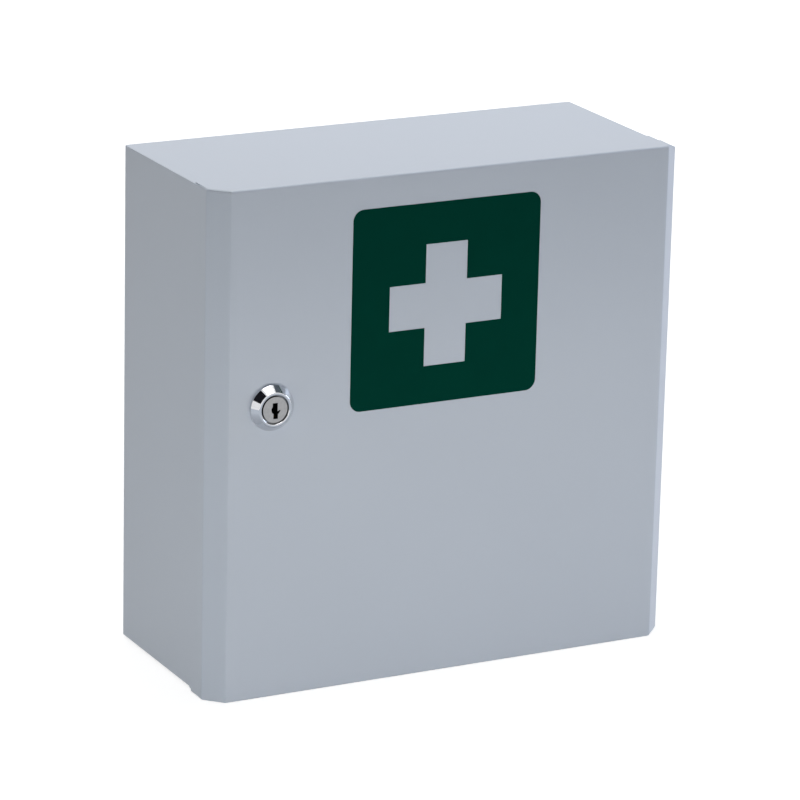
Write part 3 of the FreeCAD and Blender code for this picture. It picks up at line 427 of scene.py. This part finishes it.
def sign_film(slot, finish):
    """Satin self-adhesive film with a slightly uneven print."""
    tree, surface = new_finish(slot)
    mottle = tree.noise(scale=90.0, detail=4.0)
    skin = tree.noise(scale=1500.0, detail=2.0)
    colour = tree.between(mottle, dimmed(finish.sign, 0.94), dimmed(finish.sign, 1.06))
    tree.fill(surface["Base Color"], colour)
    tree.fill(surface["Roughness"], 0.4 + 0.1 * mottle)
    tree.fill(surface["Normal"], tree.bump(skin, distance=0.004 * MM))
    surface["Specular IOR Level"].default_value = 0.01


def rubber(slot, finish):
    """Matt black rubber with a speckled skin and a pale bloom."""
    tree, surface = new_finish(slot)
    bloom = tree.noise(scale=240.0, detail=4.0)
    speckle = tree.noise(scale=2600.0, detail=2.0)
    colour = tree.between(bloom, dimmed(finish.rubber, 0.8), dimmed(finish.rubber, 1.5))
    tree.fill(surface["Base Color"], colour)
    tree.fill(surface["Roughness"], 0.68 + 0.16 * speckle)
    tree.fill(surface["Normal"], tree.bump(speckle, distance=0.03 * MM))


def metal(
    slot, colour, roughness, spread, scale, stretch=(1.0, 1.0, 1.0), depth=0.004 * MM, dull=0.9,
    clouding=160.0, painted_shade=None,
):
    """Plated or bare metal: clouds in its colour, and the marks of its making as polish and relief.

    Its dullest clouds have the given share of its colour. Where there is painted shade, a dark colour put in
    hollows where shade falls, it goes from 0 on clean metal to 1, and takes the metal's colour and polish
    away.
    """
    tree, surface = new_finish(slot)
    clouds = tree.noise(clouding, detail=4.0)
    marks = tree.noise(scale, detail=3.0, stretch=stretch)
    clean = tree.between(clouds, dimmed(colour, dull), colour)
    polish = roughness - spread / 2 + spread * marks
    # Painted shade: darker colour and more roughness where shade falls in the lock's gap and keyway.
    if painted_shade:
        share = painted_shade(tree)
        clean = tree.between(share, clean, LOCK_PAINTED_SHADE)
        polish = polish + PAINTED_SHADE_ROUGHNESS * share
    tree.fill(surface["Base Color"], clean)
    tree.fill(surface["Roughness"], polish)
    tree.fill(surface["Normal"], tree.bump(marks, depth))
    surface["Metallic"].default_value = 1.0


def painted_shade_round_the_plug(tree):
    """Painted shade: a thin dark ring in the gap between the lock's head and its plug, where shade falls."""
    inside = tree.maths("LESS_THAN", from_axis(tree, "lock_plug"), GAP_RADIUS)
    return GAP_PAINTED_SHADE * inside * behind_the_face(tree, GAP_START)


def painted_shade_in_the_keyway(tree):
    """Painted shade on everything behind the plug's face, in the keyway."""
    return behind_the_face(tree, KEYWAY_START)


def behind_the_face(tree, depth):
    """1 where a point lies further than the depth behind the plug's face, and 0 elsewhere."""
    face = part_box("lock_plug")[0].y
    return tree.maths("GREATER_THAN", tree.place("Y"), face + depth)


def from_axis(tree, node):
    """How far a point lies from the axis along Y through the middle of a node."""
    low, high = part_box(node)
    across = tree.place("X") - (low.x + high.x) / 2
    up = tree.place("Z") - (low.z + high.z) / 2
    return tree.maths("SQRT", across * across + up * up)


def finish_of(slot):
    """The material that stands for a slot of the record."""
    return bpy.data.materials[FINISH_NAMES[slot]]


# Modelling.

def leave_nothing_selected():
    """Let the next operator act on the new piece alone."""
    bpy.ops.object.select_all(action="DESELECT")


def closed_up(name):
    """End the shaping of the piece in hand: no doubles, faces outwards, round parts smooth."""
    bpy.ops.mesh.select_all(action="SELECT")
    bpy.ops.mesh.remove_doubles(threshold=MERGE_DISTANCE)
    bpy.ops.mesh.normals_make_consistent(inside=False)
    bpy.ops.object.mode_set(mode="OBJECT")
    bpy.ops.object.shade_smooth_by_angle(angle=SMOOTH_BELOW)
    piece = bpy.context.object
    piece.name = name
    return piece


def turned(name, outline, steps, ring=False):
    """A turned shape about Z, extruded ring by ring.

    The outline is radius and height pairs in millimetres, from foot to top.
    A ring's outline ends where it starts.
    """
    leave_nothing_selected()
    radius, height = outline[0]
    fill = "NOTHING" if ring else "NGON"
    bpy.ops.mesh.primitive_circle_add(vertices=steps, radius=radius * MM, fill_type=fill)
    bpy.ops.object.mode_set(mode="EDIT")
    bpy.ops.mesh.select_all(action="SELECT")
    bpy.ops.transform.translate(value=(0, 0, height * MM))
    for next_radius, next_height in outline[1:]:
        bpy.ops.mesh.extrude_region_move(
            TRANSFORM_OT_translate={"value": (0, 0, (next_height - height) * MM)},
        )
        share = next_radius / radius
        bpy.ops.transform.resize(value=(share, share, 1), center_override=(0, 0, next_height * MM))
        radius, height = next_radius, next_height
    return closed_up(name)


def hexagonal(name, radius, round_blank):
    """A turned blank milled to six sides, with the chamfer that the blank leaves on the corners."""
    leave_nothing_selected()
    bpy.ops.mesh.primitive_cylinder_add(vertices=6, radius=radius * MM, depth=PRISM_LENGTH)
    # A prism starts with a corner towards Y, and the CAD's with one towards X.
    bpy.context.object.rotation_euler.z = HALF_SIDE
    bpy.ops.object.transform_apply(rotation=True)
    sides = bpy.context.object
    leave_nothing_selected()
    bpy.context.view_layer.objects.active = round_blank
    round_blank.select_set(True)
    cut = round_blank.modifiers.new("Six sides", "BOOLEAN")
    cut.operation = "INTERSECT"
    cut.object = sides
    bpy.ops.object.modifier_apply(modifier=cut.name)
    bpy.data.objects.remove(sides)
    bpy.ops.object.mode_set(mode="EDIT")
    return closed_up(name)


def hexagon_chamfer(corner):
    """Half the width over the flats of a hexagon, and how far its chamfer drops from there to the corners."""
    flat = corner * math.cos(HALF_SIDE)
    return flat, (corner - flat) * CHAMFER_SLOPE


def wound(name, wire, radius, pitch, turns, sides, steps):
    """A wire of the given radius, wound about Z from height 0, with its ends closed. Sizes in millimetres."""
    leave_nothing_selected()
    bpy.ops.mesh.primitive_circle_add(vertices=sides, radius=wire * MM, rotation=TOWARDS_FRONT)
    bpy.context.object.location.x = radius * MM
    bpy.ops.object.transform_apply(location=True, rotation=True)
    winding = bpy.context.object.modifiers.new("Winding", "SCREW")
    winding.axis = "Z"
    winding.screw_offset = pitch * MM
    winding.iterations = turns
    winding.steps = steps
    winding.render_steps = steps
    bpy.ops.object.modifier_apply(modifier=winding.name)
    bpy.ops.object.mode_set(mode="EDIT")
    bpy.ops.mesh.select_all(action="SELECT")
    bpy.ops.mesh.fill_holes(sides=0)
    return closed_up(name)


def put_copies(model, names, places, turn, body, slot, nodes):
    """Copies of a model, each with its own mesh, that ride on a body and stand for CAD nodes."""
    for name, place in zip(names, places):
        leave_nothing_selected()
        bpy.context.view_layer.objects.active = model
        model.select_set(True)
        bpy.ops.object.duplicate(linked=False)
        copy = bpy.context.object
        copy.name = name
        copy.rotation_euler = turn
        copy.location = place
        bpy.ops.object.transform_apply(location=True, rotation=True)
        copy.data.materials.clear()
        copy.data.materials.append(finish_of(slot))
        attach(copy, body)
        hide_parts(*nodes)
    bpy.data.objects.remove(model)


# The pieces.

class CABINET_OT_finishes(bpy.types.Operator):
    """Make every finish and give it to the CAD nodes of its slot"""

    bl_idname = "cabinet.finishes"
    bl_label = "Finish the CAD pieces"

    def execute(self, context):
        finish = context.scene.cabinet_finish
        powder_coat("case_paint", finish)
        powder_coat("door_paint", finish)
        sign_film("sign_film", finish)
        rubber("buffer_rubber", finish)
        along_pin = (1.0, 1.0, 0.02)
        along_brush = (1.0, 1.0, 0.03)
        steel = dimmed(finish.zinc, 0.8)
        aluminium = dimmed(finish.zinc, 1.15)
        dull_zinc = dimmed(finish.zinc, 0.9)
        dark_steel = dimmed(finish.zinc, 0.75)
        metal("hinge_zinc", finish.zinc, roughness=0.36, spread=0.2, scale=420.0)
        metal("pin_steel", steel, roughness=0.32, spread=0.2, scale=2200.0, stretch=along_pin)
        metal("rivet_aluminium", aluminium, roughness=0.38, spread=0.16, scale=1800.0)
        # The chrome gets painted shade in the gap round the plug.
        metal(
            "lock_chrome", finish.chrome, roughness=0.06, spread=0.04, scale=900.0, depth=0.0004 * MM,
            painted_shade=painted_shade_round_the_plug,
        )
        # The nickel plug gets painted shade in its keyway.
        metal(
            "plug_nickel", finish.nickel, roughness=0.34, spread=0.2, scale=5200.0, stretch=along_brush,
            dull=0.72, clouding=700.0, painted_shade=painted_shade_in_the_keyway,
        )
        metal("lock_zinc", dull_zinc, roughness=0.34, spread=0.18, scale=640.0)
        metal("wafer_brass", finish.brass, roughness=0.4, spread=0.2, scale=1500.0)
        metal("spring_steel", dark_steel, roughness=0.3, spread=0.12, scale=3000.0)
        for row in frame["record"]["subparts"]:
            for place in frame["nodes"][row["node"]].material_slots:
                place.material = finish_of(row["material_slot"])
        return {"FINISHED"}


class CABINET_OT_rivets(bpy.types.Operator):
    """Model the blind rivets of both hinges, with the broken mandrel in their heads"""

    bl_idname = "cabinet.rivets"
    bl_label = "Rivets"

    def execute(self, context):
        size = context.scene.cabinet_hardware
        for node, body in (("body_leaf_rivets", "cabinet"), ("door_leaf_rivets", "door")):
            low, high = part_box(node)
            seat = high.x - size.rivet_head_height
            middle = (low.y + high.y) / 2
            outer = high.z - (high.y - low.y) / 2
            inner = outer - size.rivet_spacing
            heights = (outer, inner, -inner, -outer)
            model = self.model(size, (seat - low.x) / MM)
            names = [f"{body}_rivet_{number}" for number in range(1, 5)]
            places = [(seat, middle, height) for height in heights]
            put_copies(model, names, places, TOWARDS_RIGHT, body, "rivet_aluminium", [node])
        return {"FINISHED"}

    def model(self, size, reach):
        """One rivet with its head's seat at height 0 and its set end as far behind it as the CAD's."""
        head = size.rivet_head_height / MM
        tail = reach - RIVET_SET_END
        # The broken mandrel in the set end, the set end, the shank, the head, and the mandrel in its hole.
        return turned("rivet", (
            (0.7, -reach), (1.1, -reach + 0.06), (1.3, -reach + 0.22), (1.3, -reach + 0.3),
            (1.72, -reach + 0.33), (2.1, -reach + 0.46), (2.2, -reach + 0.62), (2.08, -tail),
            (1.5, -tail), (1.5, 0.0), (2.55, 0.0), (2.6, 0.06), (2.58, 0.16), (2.48, 0.28), (2.25, 0.46),
            (1.9, 0.65), (1.5, 0.8), (1.15, head - 0.02), (0.98, head), (0.9, head - 0.08), (0.86, 0.42),
            (0.76, 0.4), (0.74, 0.56), (0.6, 0.62),
        ), steps=36)


class CABINET_OT_buffers(bpy.types.Operator):
    """Model the rubber buffers that the door closes against"""

    bl_idname = "cabinet.buffers"
    bl_label = "Door buffers"

    def execute(self, context):
        low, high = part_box("door_buffers")
        rim_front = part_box("cabinet_shell")[0].y
        radius = (high.x - low.x) / 2
        middle = (low.x + high.x) / 2
        outer = high.z - radius
        front = (rim_front - low.y) / MM
        # The barb behind the flange, the neck, the collar, the tapered body, and the dished face.
        model = turned("buffer", (
            (1.1, -3.8), (1.45, -3.7), (1.75, -3.45), (2.8, -1.35), (2.98, -1.08), (2.9, -0.9), (2.7, -0.82),
            (1.9, -0.82), (1.9, 0.0), (4.2, 0.0), (4.44, 0.12), (4.5, 0.35), (4.5, 1.1), (4.32, 1.5),
            (4.3, front - 1.9), (4.2, front - 1.2), (3.95, front - 0.65), (3.55, front - 0.22),
            (3.1, front - 0.04), (2.7, front), (2.2, front - 0.08), (1.6, front - 0.36), (0.8, front - 0.52),
        ), steps=40)
        names = ["upper_buffer", "lower_buffer"]
        places = [(middle, rim_front, outer), (middle, rim_front, -outer)]
        put_copies(model, names, places, TOWARDS_FRONT, "cabinet", "buffer_rubber", ["door_buffers"])
        return {"FINISHED"}


class CABINET_OT_lock_fasteners(bpy.types.Operator):
    """Model the lock's toothed washer, its chamfered nut, the barrel's thread and the cam's screw"""

    bl_idname = "cabinet.lock_fasteners"
    bl_label = "Lock fasteners"

    def execute(self, context):
        size = context.scene.cabinet_hardware
        self.add_washer(size)
        self.add_nut(size)
        self.add_thread(size)
        self.add_screw()
        return {"FINISHED"}

    def axis_place(self, node, front=True):
        """Where the lock's axis meets the front or back of a node."""
        low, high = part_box("lock_nut")
        middle = (low + high) / 2
        low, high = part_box(node)
        return Vector((middle.x, low.y if front else high.y, middle.z))

    def add_washer(self, size):
        """A ring whose outer teeth are set, one edge of each forwards and one back."""
        teeth = size.washer_teeth
        bore, middle, root, tip = WASHER_RADII
        leave_nothing_selected()
        steps = TOOTH_STEPS * teeth
        bpy.ops.mesh.primitive_circle_add(vertices=steps, radius=bore * MM, fill_type="NOTHING")
        bpy.ops.object.mode_set(mode="EDIT")
        bpy.ops.mesh.select_all(action="SELECT")
        self.widen(middle / bore)
        self.widen(root / middle)
        self.pick_edges(teeth, (middle + root) / 2 * MM)
        self.widen(tip / root)
        for side, lift in ((0, TOOTH_SET), (2, -TOOTH_SET)):
            self.pick_corners(teeth, (root + tip) / 2 * MM, side)
            bpy.ops.transform.translate(value=(0, 0, lift))
        bpy.ops.object.mode_set(mode="OBJECT")
        piece = bpy.context.object
        wall = piece.modifiers.new("Sheet", "SOLIDIFY")
        wall.thickness = WASHER_SHEET
        wall.offset = 0.0
        bpy.ops.object.modifier_apply(modifier=wall.name)
        edge = piece.modifiers.new("Stamped edge", "BEVEL")
        edge.width = WASHER_EDGE
        edge.segments = 2
        bpy.ops.object.modifier_apply(modifier=edge.name)
        bpy.ops.object.mode_set(mode="EDIT")
        piece = closed_up("toothed_washer")
        low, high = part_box("lock_washer")
        place = self.axis_place("lock_washer")
        place.y = (low.y + high.y) / 2
        names = ["lock_toothed_washer"]
        put_copies(piece, names, [place], TOWARDS_FRONT, "door", "lock_zinc", ["lock_washer"])

    def widen(self, share):
        """Extrude the selected edges, and widen the new ones about the axis."""
        bpy.ops.mesh.extrude_region_move()
        bpy.ops.transform.resize(value=(share, share, 1), center_override=(0, 0, 0))

    def step_of(self, point, teeth):
        """Number of a point within its tooth of the washer."""
        turn = math.atan2(point.y, point.x) / (2 * math.pi)
        return round(turn * TOOTH_STEPS * teeth) % TOOTH_STEPS

    def pick_edges(self, teeth, radius):
        """Select the two edges beyond a radius that grow into each tooth."""
        bpy.ops.mesh.select_all(action="DESELECT")
        bpy.ops.object.mode_set(mode="OBJECT")
        mesh = bpy.context.object.data
        for edge in mesh.edges:
            ends = [mesh.vertices[number].co for number in edge.vertices]
            steps = [self.step_of(end, teeth) for end in ends]
            outside = min(end.xy.length for end in ends) > radius
            edge.select = outside and TOOTH_STEPS - 1 not in steps
        bpy.ops.object.mode_set(mode="EDIT")
        bpy.ops.mesh.select_mode(type="EDGE")

    def pick_corners(self, teeth, radius, side):
        """Select the tip of each tooth on one side, beyond a radius."""
        bpy.ops.mesh.select_mode(type="VERT")
        bpy.ops.mesh.select_all(action="DESELECT")
        bpy.ops.object.mode_set(mode="OBJECT")
        for vertex in bpy.context.object.data.vertices:
            at_tip = vertex.co.xy.length > radius
            vertex.select = at_tip and self.step_of(vertex.co, teeth) == side
        bpy.ops.object.mode_set(mode="EDIT")

    def add_nut(self, size):
        """A hexagon nut with chamfered corners, a countersunk bore and grooves where its thread is."""
        low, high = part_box("lock_nut")
        height = (high.y - low.y) / MM
        corner = (high.x - low.x) / 2 / MM
        flat, drop = hexagon_chamfer(corner)
        outline = [
            (COUNTERSINK_RADIUS, 0.0), (flat - 0.1, 0.0), (corner, drop + 0.06),
            (corner, height - drop - 0.06), (flat - 0.1, height), (COUNTERSINK_RADIUS, height),
        ]
        turns = int((height - 2 * COUNTERSINK_DEPTH) / size.thread_pitch)
        for number in range(turns):
            top = height - COUNTERSINK_DEPTH - number * size.thread_pitch
            outline.append((CREST_RADIUS, top))
            outline.append((GROOVE_RADIUS, top - size.thread_pitch / 2))
        outline.append((CREST_RADIUS, height - COUNTERSINK_DEPTH - turns * size.thread_pitch))
        outline.append((COUNTERSINK_RADIUS, 0.0))
        nut = hexagonal("nut", corner, turned("nut_blank", outline, steps=72, ring=True))
        place = self.axis_place("lock_nut", front=False)
        put_copies(nut, ["lock_hexagon_nut"], [place], TOWARDS_FRONT, "door", "lock_zinc", ["lock_nut"])

    def add_thread(self, size):
        """The ridge of the barrel's thread, gone at the barrel's two flats."""
        pitch = size.thread_pitch
        wire = pitch * RIDGE_SHARE
        ridge = wound("thread", wire, THREAD_RADIUS, pitch, THREAD_TURNS, sides=4, steps=64)
        leave_nothing_selected()
        bpy.context.view_layer.objects.active = ridge
        ridge.select_set(True)
        bpy.ops.object.mode_set(mode="EDIT")
        for side in (1, -1):
            bpy.ops.mesh.select_all(action="SELECT")
            bpy.ops.mesh.bisect(
                plane_co=(side * HALF_FLATS, 0, 0), plane_no=(side, 0, 0), use_fill=True, clear_outer=True,
            )
        ridge = closed_up("thread")
        place = self.axis_place("lock_housing", front=False) - Vector((0, PLAIN_END, 0))
        put_copies(ridge, ["lock_barrel_thread"], [place], TOWARDS_FRONT, "door", "lock_chrome", [])

    def add_screw(self):
        """The cam's hexagon screw: a chamfered head with a shallow dish over its shank."""
        low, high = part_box("cam_screw")
        corner = (high.x - low.x) / 2 / MM
        head = (high.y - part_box("cam_washer")[1].y) / MM
        length = (high.y - low.y) / MM - head
        flat, drop = hexagon_chamfer(corner)
        blank = turned("screw_blank", (
            (1.6, -length), (2.0, -length + 0.4), (2.0, 0.0), (flat - 0.2, 0.0), (flat - 0.2, 0.18),
            (corner, 0.18), (corner, head - drop - 0.08), (flat - 0.25, head), (2.4, head),
            (2.1, head - 0.14), (0.6, head - 0.2),
        ), steps=72)
        screw = hexagonal("screw", corner, blank)
        place = self.axis_place("cam_washer", front=False)
        names = ["cam_hexagon_screw"]
        put_copies(screw, names, [place], TOWARDS_BACK, "lock_core", "lock_zinc", ["cam_screw"])


class CABINET_OT_springs(bpy.types.Operator):
    """Wind the springs that push the lock's wafers out"""

    bl_idname = "cabinet.springs"
    bl_label = "Wafer springs"

    def execute(self, context):
        size = context.scene.cabinet_hardware
        low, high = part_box("wafer_springs")
        radius = (high.x - low.x) / 2
        wire = SPRING_WIRE
        pitch = ((high.z - low.z) / MM - 2 * wire) / SPRING_TURNS
        model = wound("spring", wire, radius / MM - wire, pitch, SPRING_TURNS, sides=8, steps=20)
        step = (high.y - low.y - 2 * radius) / (size.wafers - 1)
        names = [f"wafer_spring_{number}" for number in range(1, size.wafers + 1)]
        places = [
            (low.x + radius, low.y + radius + number * step, low.z + wire * MM)
            for number in range(size.wafers)
        ]
        put_copies(model, names, places, (0, 0, 0), "lock_core", "spring_steel", ["wafer_springs"])
        return {"FINISHED"}


class CABINET_OT_stage(bpy.types.Operator):
    """Set the floor, the room's light, the lamps, the cards of painted reflection and highlight, and the
    camera
    """

    bl_idname = "cabinet.stage"
    bl_label = "Set the stage"

    def execute(self, context):
        stage = context.scene.cabinet_stage
        self.set_floor()
        self.set_room(context.scene, stage.room_light)
        for name, power, place, size, colour, shown in LAMPS:
            lamp = self.add_lamp(name, place, size, getattr(stage, power), colour)
            lamp.visible_glossy = shown
        # Cards that glow only in polished surfaces: painted reflections and a painted highlight.
        for name, place, back, size, colour in CARDS:
            self.add_card(name, place, back, size, colour or stage.card)
        self.set_camera(context.scene, stage)
        context.scene.view_settings.view_transform = "Standard"
        return {"FINISHED"}

    def set_floor(self):
        """A wide pale floor just under the cabinet, white to the eye where nothing shades it."""
        leave_nothing_selected()
        bpy.ops.mesh.primitive_plane_add(size=FLOOR_SIZE, location=(0, 0, CAD_LOW.z - FLOOR_GAP))
        floor = bpy.context.object
        floor.name = "Floor"
        bpy.ops.object.transform_apply(location=True)
        material, tree, surface = new_stage_look("Floor")
        lit = tree.add("ShaderNodeBsdfDiffuse", (), {"Color": FLOOR_LIT})
        dim = tree.add("ShaderNodeBsdfDiffuse", (), {"Color": FLOOR_SEEN})
        far = tree.maths("MINIMUM", tree.square_from_middle(), 1.0)
        white = FLOOR_NEAR_GLOW + FLOOR_FAR_GLOW * far
        glow = tree.add("ShaderNodeEmission", (), {"Color": white, "Strength": 1.0})
        bright = tree.add("ShaderNodeAddShader", (), {0: dim, 1: glow})
        shown = tree.add("ShaderNodeMixShader", (), {0: tree.seen(), 1: lit, 2: bright})
        tree.fill(surface, shown)
        floor.data.materials.append(material)

    def set_room(self, scene, room_light):
        """An even room light, seen as white by the camera and in polished metal."""
        world = bpy.data.worlds.new("Studio")
        world.use_nodes = True
        scene.world = world
        tree = Value(world.node_tree)
        background = world.node_tree.nodes["Background"]
        background.inputs["Color"].default_value = (1, 1, 1, 1)
        tree.fill(background.inputs["Strength"], room_light + (1 - room_light) * tree.seen())

    def add_lamp(self, name, place, size, power, colour):
        """A rectangular soft lamp that faces the cabinet."""
        bpy.ops.object.light_add(type="AREA", location=place)
        lamp = bpy.context.object
        lamp.name = name
        lamp.data.shape = "RECTANGLE"
        lamp.data.size, lamp.data.size_y = size
        lamp.data.energy = power
        lamp.data.color = colour
        lamp.visible_camera = False
        lamp.rotation_euler = Vector(place).to_track_quat("Z", "Y").to_euler()
        return lamp

    def add_card(self, name, place, back, size, colour):
        """A painted reflection: a glowing card that only polished surfaces see, which lights nothing and
        casts no shadow, darker near the cabinet as painted shade.
        """
        leave_nothing_selected()
        bpy.ops.mesh.primitive_plane_add(size=1.0, location=place)
        card = bpy.context.object
        card.name = name
        card.scale = (*size, 1.0)
        card.rotation_euler = Vector(back).to_track_quat("Z", "Y").to_euler()
        bpy.ops.object.transform_apply(location=True, rotation=True, scale=True)
        card.visible_camera = False
        card.visible_diffuse = False
        card.visible_shadow = False
        material, tree, surface = new_stage_look(name)
        # Painted shade: the card's glow is dimmed near the cabinet.
        far = tree.maths("MINIMUM", CARD_FADE * tree.square_from_middle(), 1.0)
        shade = tree.between(far, dimmed(colour, CARD_PAINTED_SHADE_SHARE), colour)
        glow = tree.add("ShaderNodeEmission", (), {"Color": shade, "Strength": 1.0})
        tree.fill(surface, glow)
        card.data.materials.append(material)

    def set_camera(self, scene, stage):
        """The camera at the photograph's angle."""
        bpy.ops.object.camera_add()
        camera = bpy.context.object
        camera.name = "Camera"
        camera.data.lens = stage.lens
        camera.data.sensor_width = SENSOR_WIDTH
        camera.data.clip_end = CLIP_END
        across = math.cos(stage.elevation)
        back = Vector((
            -math.sin(stage.azimuth) * across,
            -math.cos(stage.azimuth) * across,
            math.sin(stage.elevation),
        ))
        right = Vector((math.cos(stage.azimuth), -math.sin(stage.azimuth), 0.0))
        up = back.cross(right)
        turned_right = right * math.cos(stage.roll) + up * math.sin(stage.roll)
        turned_up = up * math.cos(stage.roll) - right * math.sin(stage.roll)
        axes = Matrix((turned_right, turned_up, back)).transposed().to_4x4()
        place = Vector(stage.target) + back * stage.distance
        camera.matrix_world = Matrix.Translation(place) @ axes
        scene.camera = camera


class CABINET_PT_panel(bpy.types.Panel):
    """Buttons that build the cabinet's looks, with the values that they read"""

    bl_idname = "CABINET_PT_panel"
    bl_label = "First Aid Cabinet"
    bl_space_type = "VIEW_3D"
    bl_region_type = "UI"
    bl_category = "Cabinet"

    def draw(self, context):
        for operator in OPERATORS:
            self.layout.operator(operator.bl_idname)
        scene = context.scene
        for group in (scene.cabinet_finish, scene.cabinet_hardware, scene.cabinet_stage):
            box = self.layout.box()
            for name in group.__annotations__:
                box.prop(group, name)


OPERATORS = (
    CABINET_OT_finishes,
    CABINET_OT_rivets,
    CABINET_OT_buffers,
    CABINET_OT_lock_fasteners,
    CABINET_OT_springs,
    CABINET_OT_stage,
)
CLASSES = (CabinetFinish, CabinetHardware, CabinetStage, *OPERATORS, CABINET_PT_panel)


def register():
    for entry in CLASSES:
        bpy.utils.register_class(entry)
    bpy.types.Scene.cabinet_finish = bpy.props.PointerProperty(type=CabinetFinish)
    bpy.types.Scene.cabinet_hardware = bpy.props.PointerProperty(type=CabinetHardware)
    bpy.types.Scene.cabinet_stage = bpy.props.PointerProperty(type=CabinetStage)


def unregister():
    del bpy.types.Scene.cabinet_stage
    del bpy.types.Scene.cabinet_hardware
    del bpy.types.Scene.cabinet_finish
    for entry in reversed(CLASSES):
        bpy.utils.unregister_class(entry)


def main():
    """Build the looks around the CAD."""
    register()
    bpy.ops.cabinet.finishes()
    bpy.ops.cabinet.rivets()
    bpy.ops.cabinet.buffers()
    bpy.ops.cabinet.lock_fasteners()
    bpy.ops.cabinet.springs()
    bpy.ops.cabinet.stage()


if __name__ == "__main__":
    main()
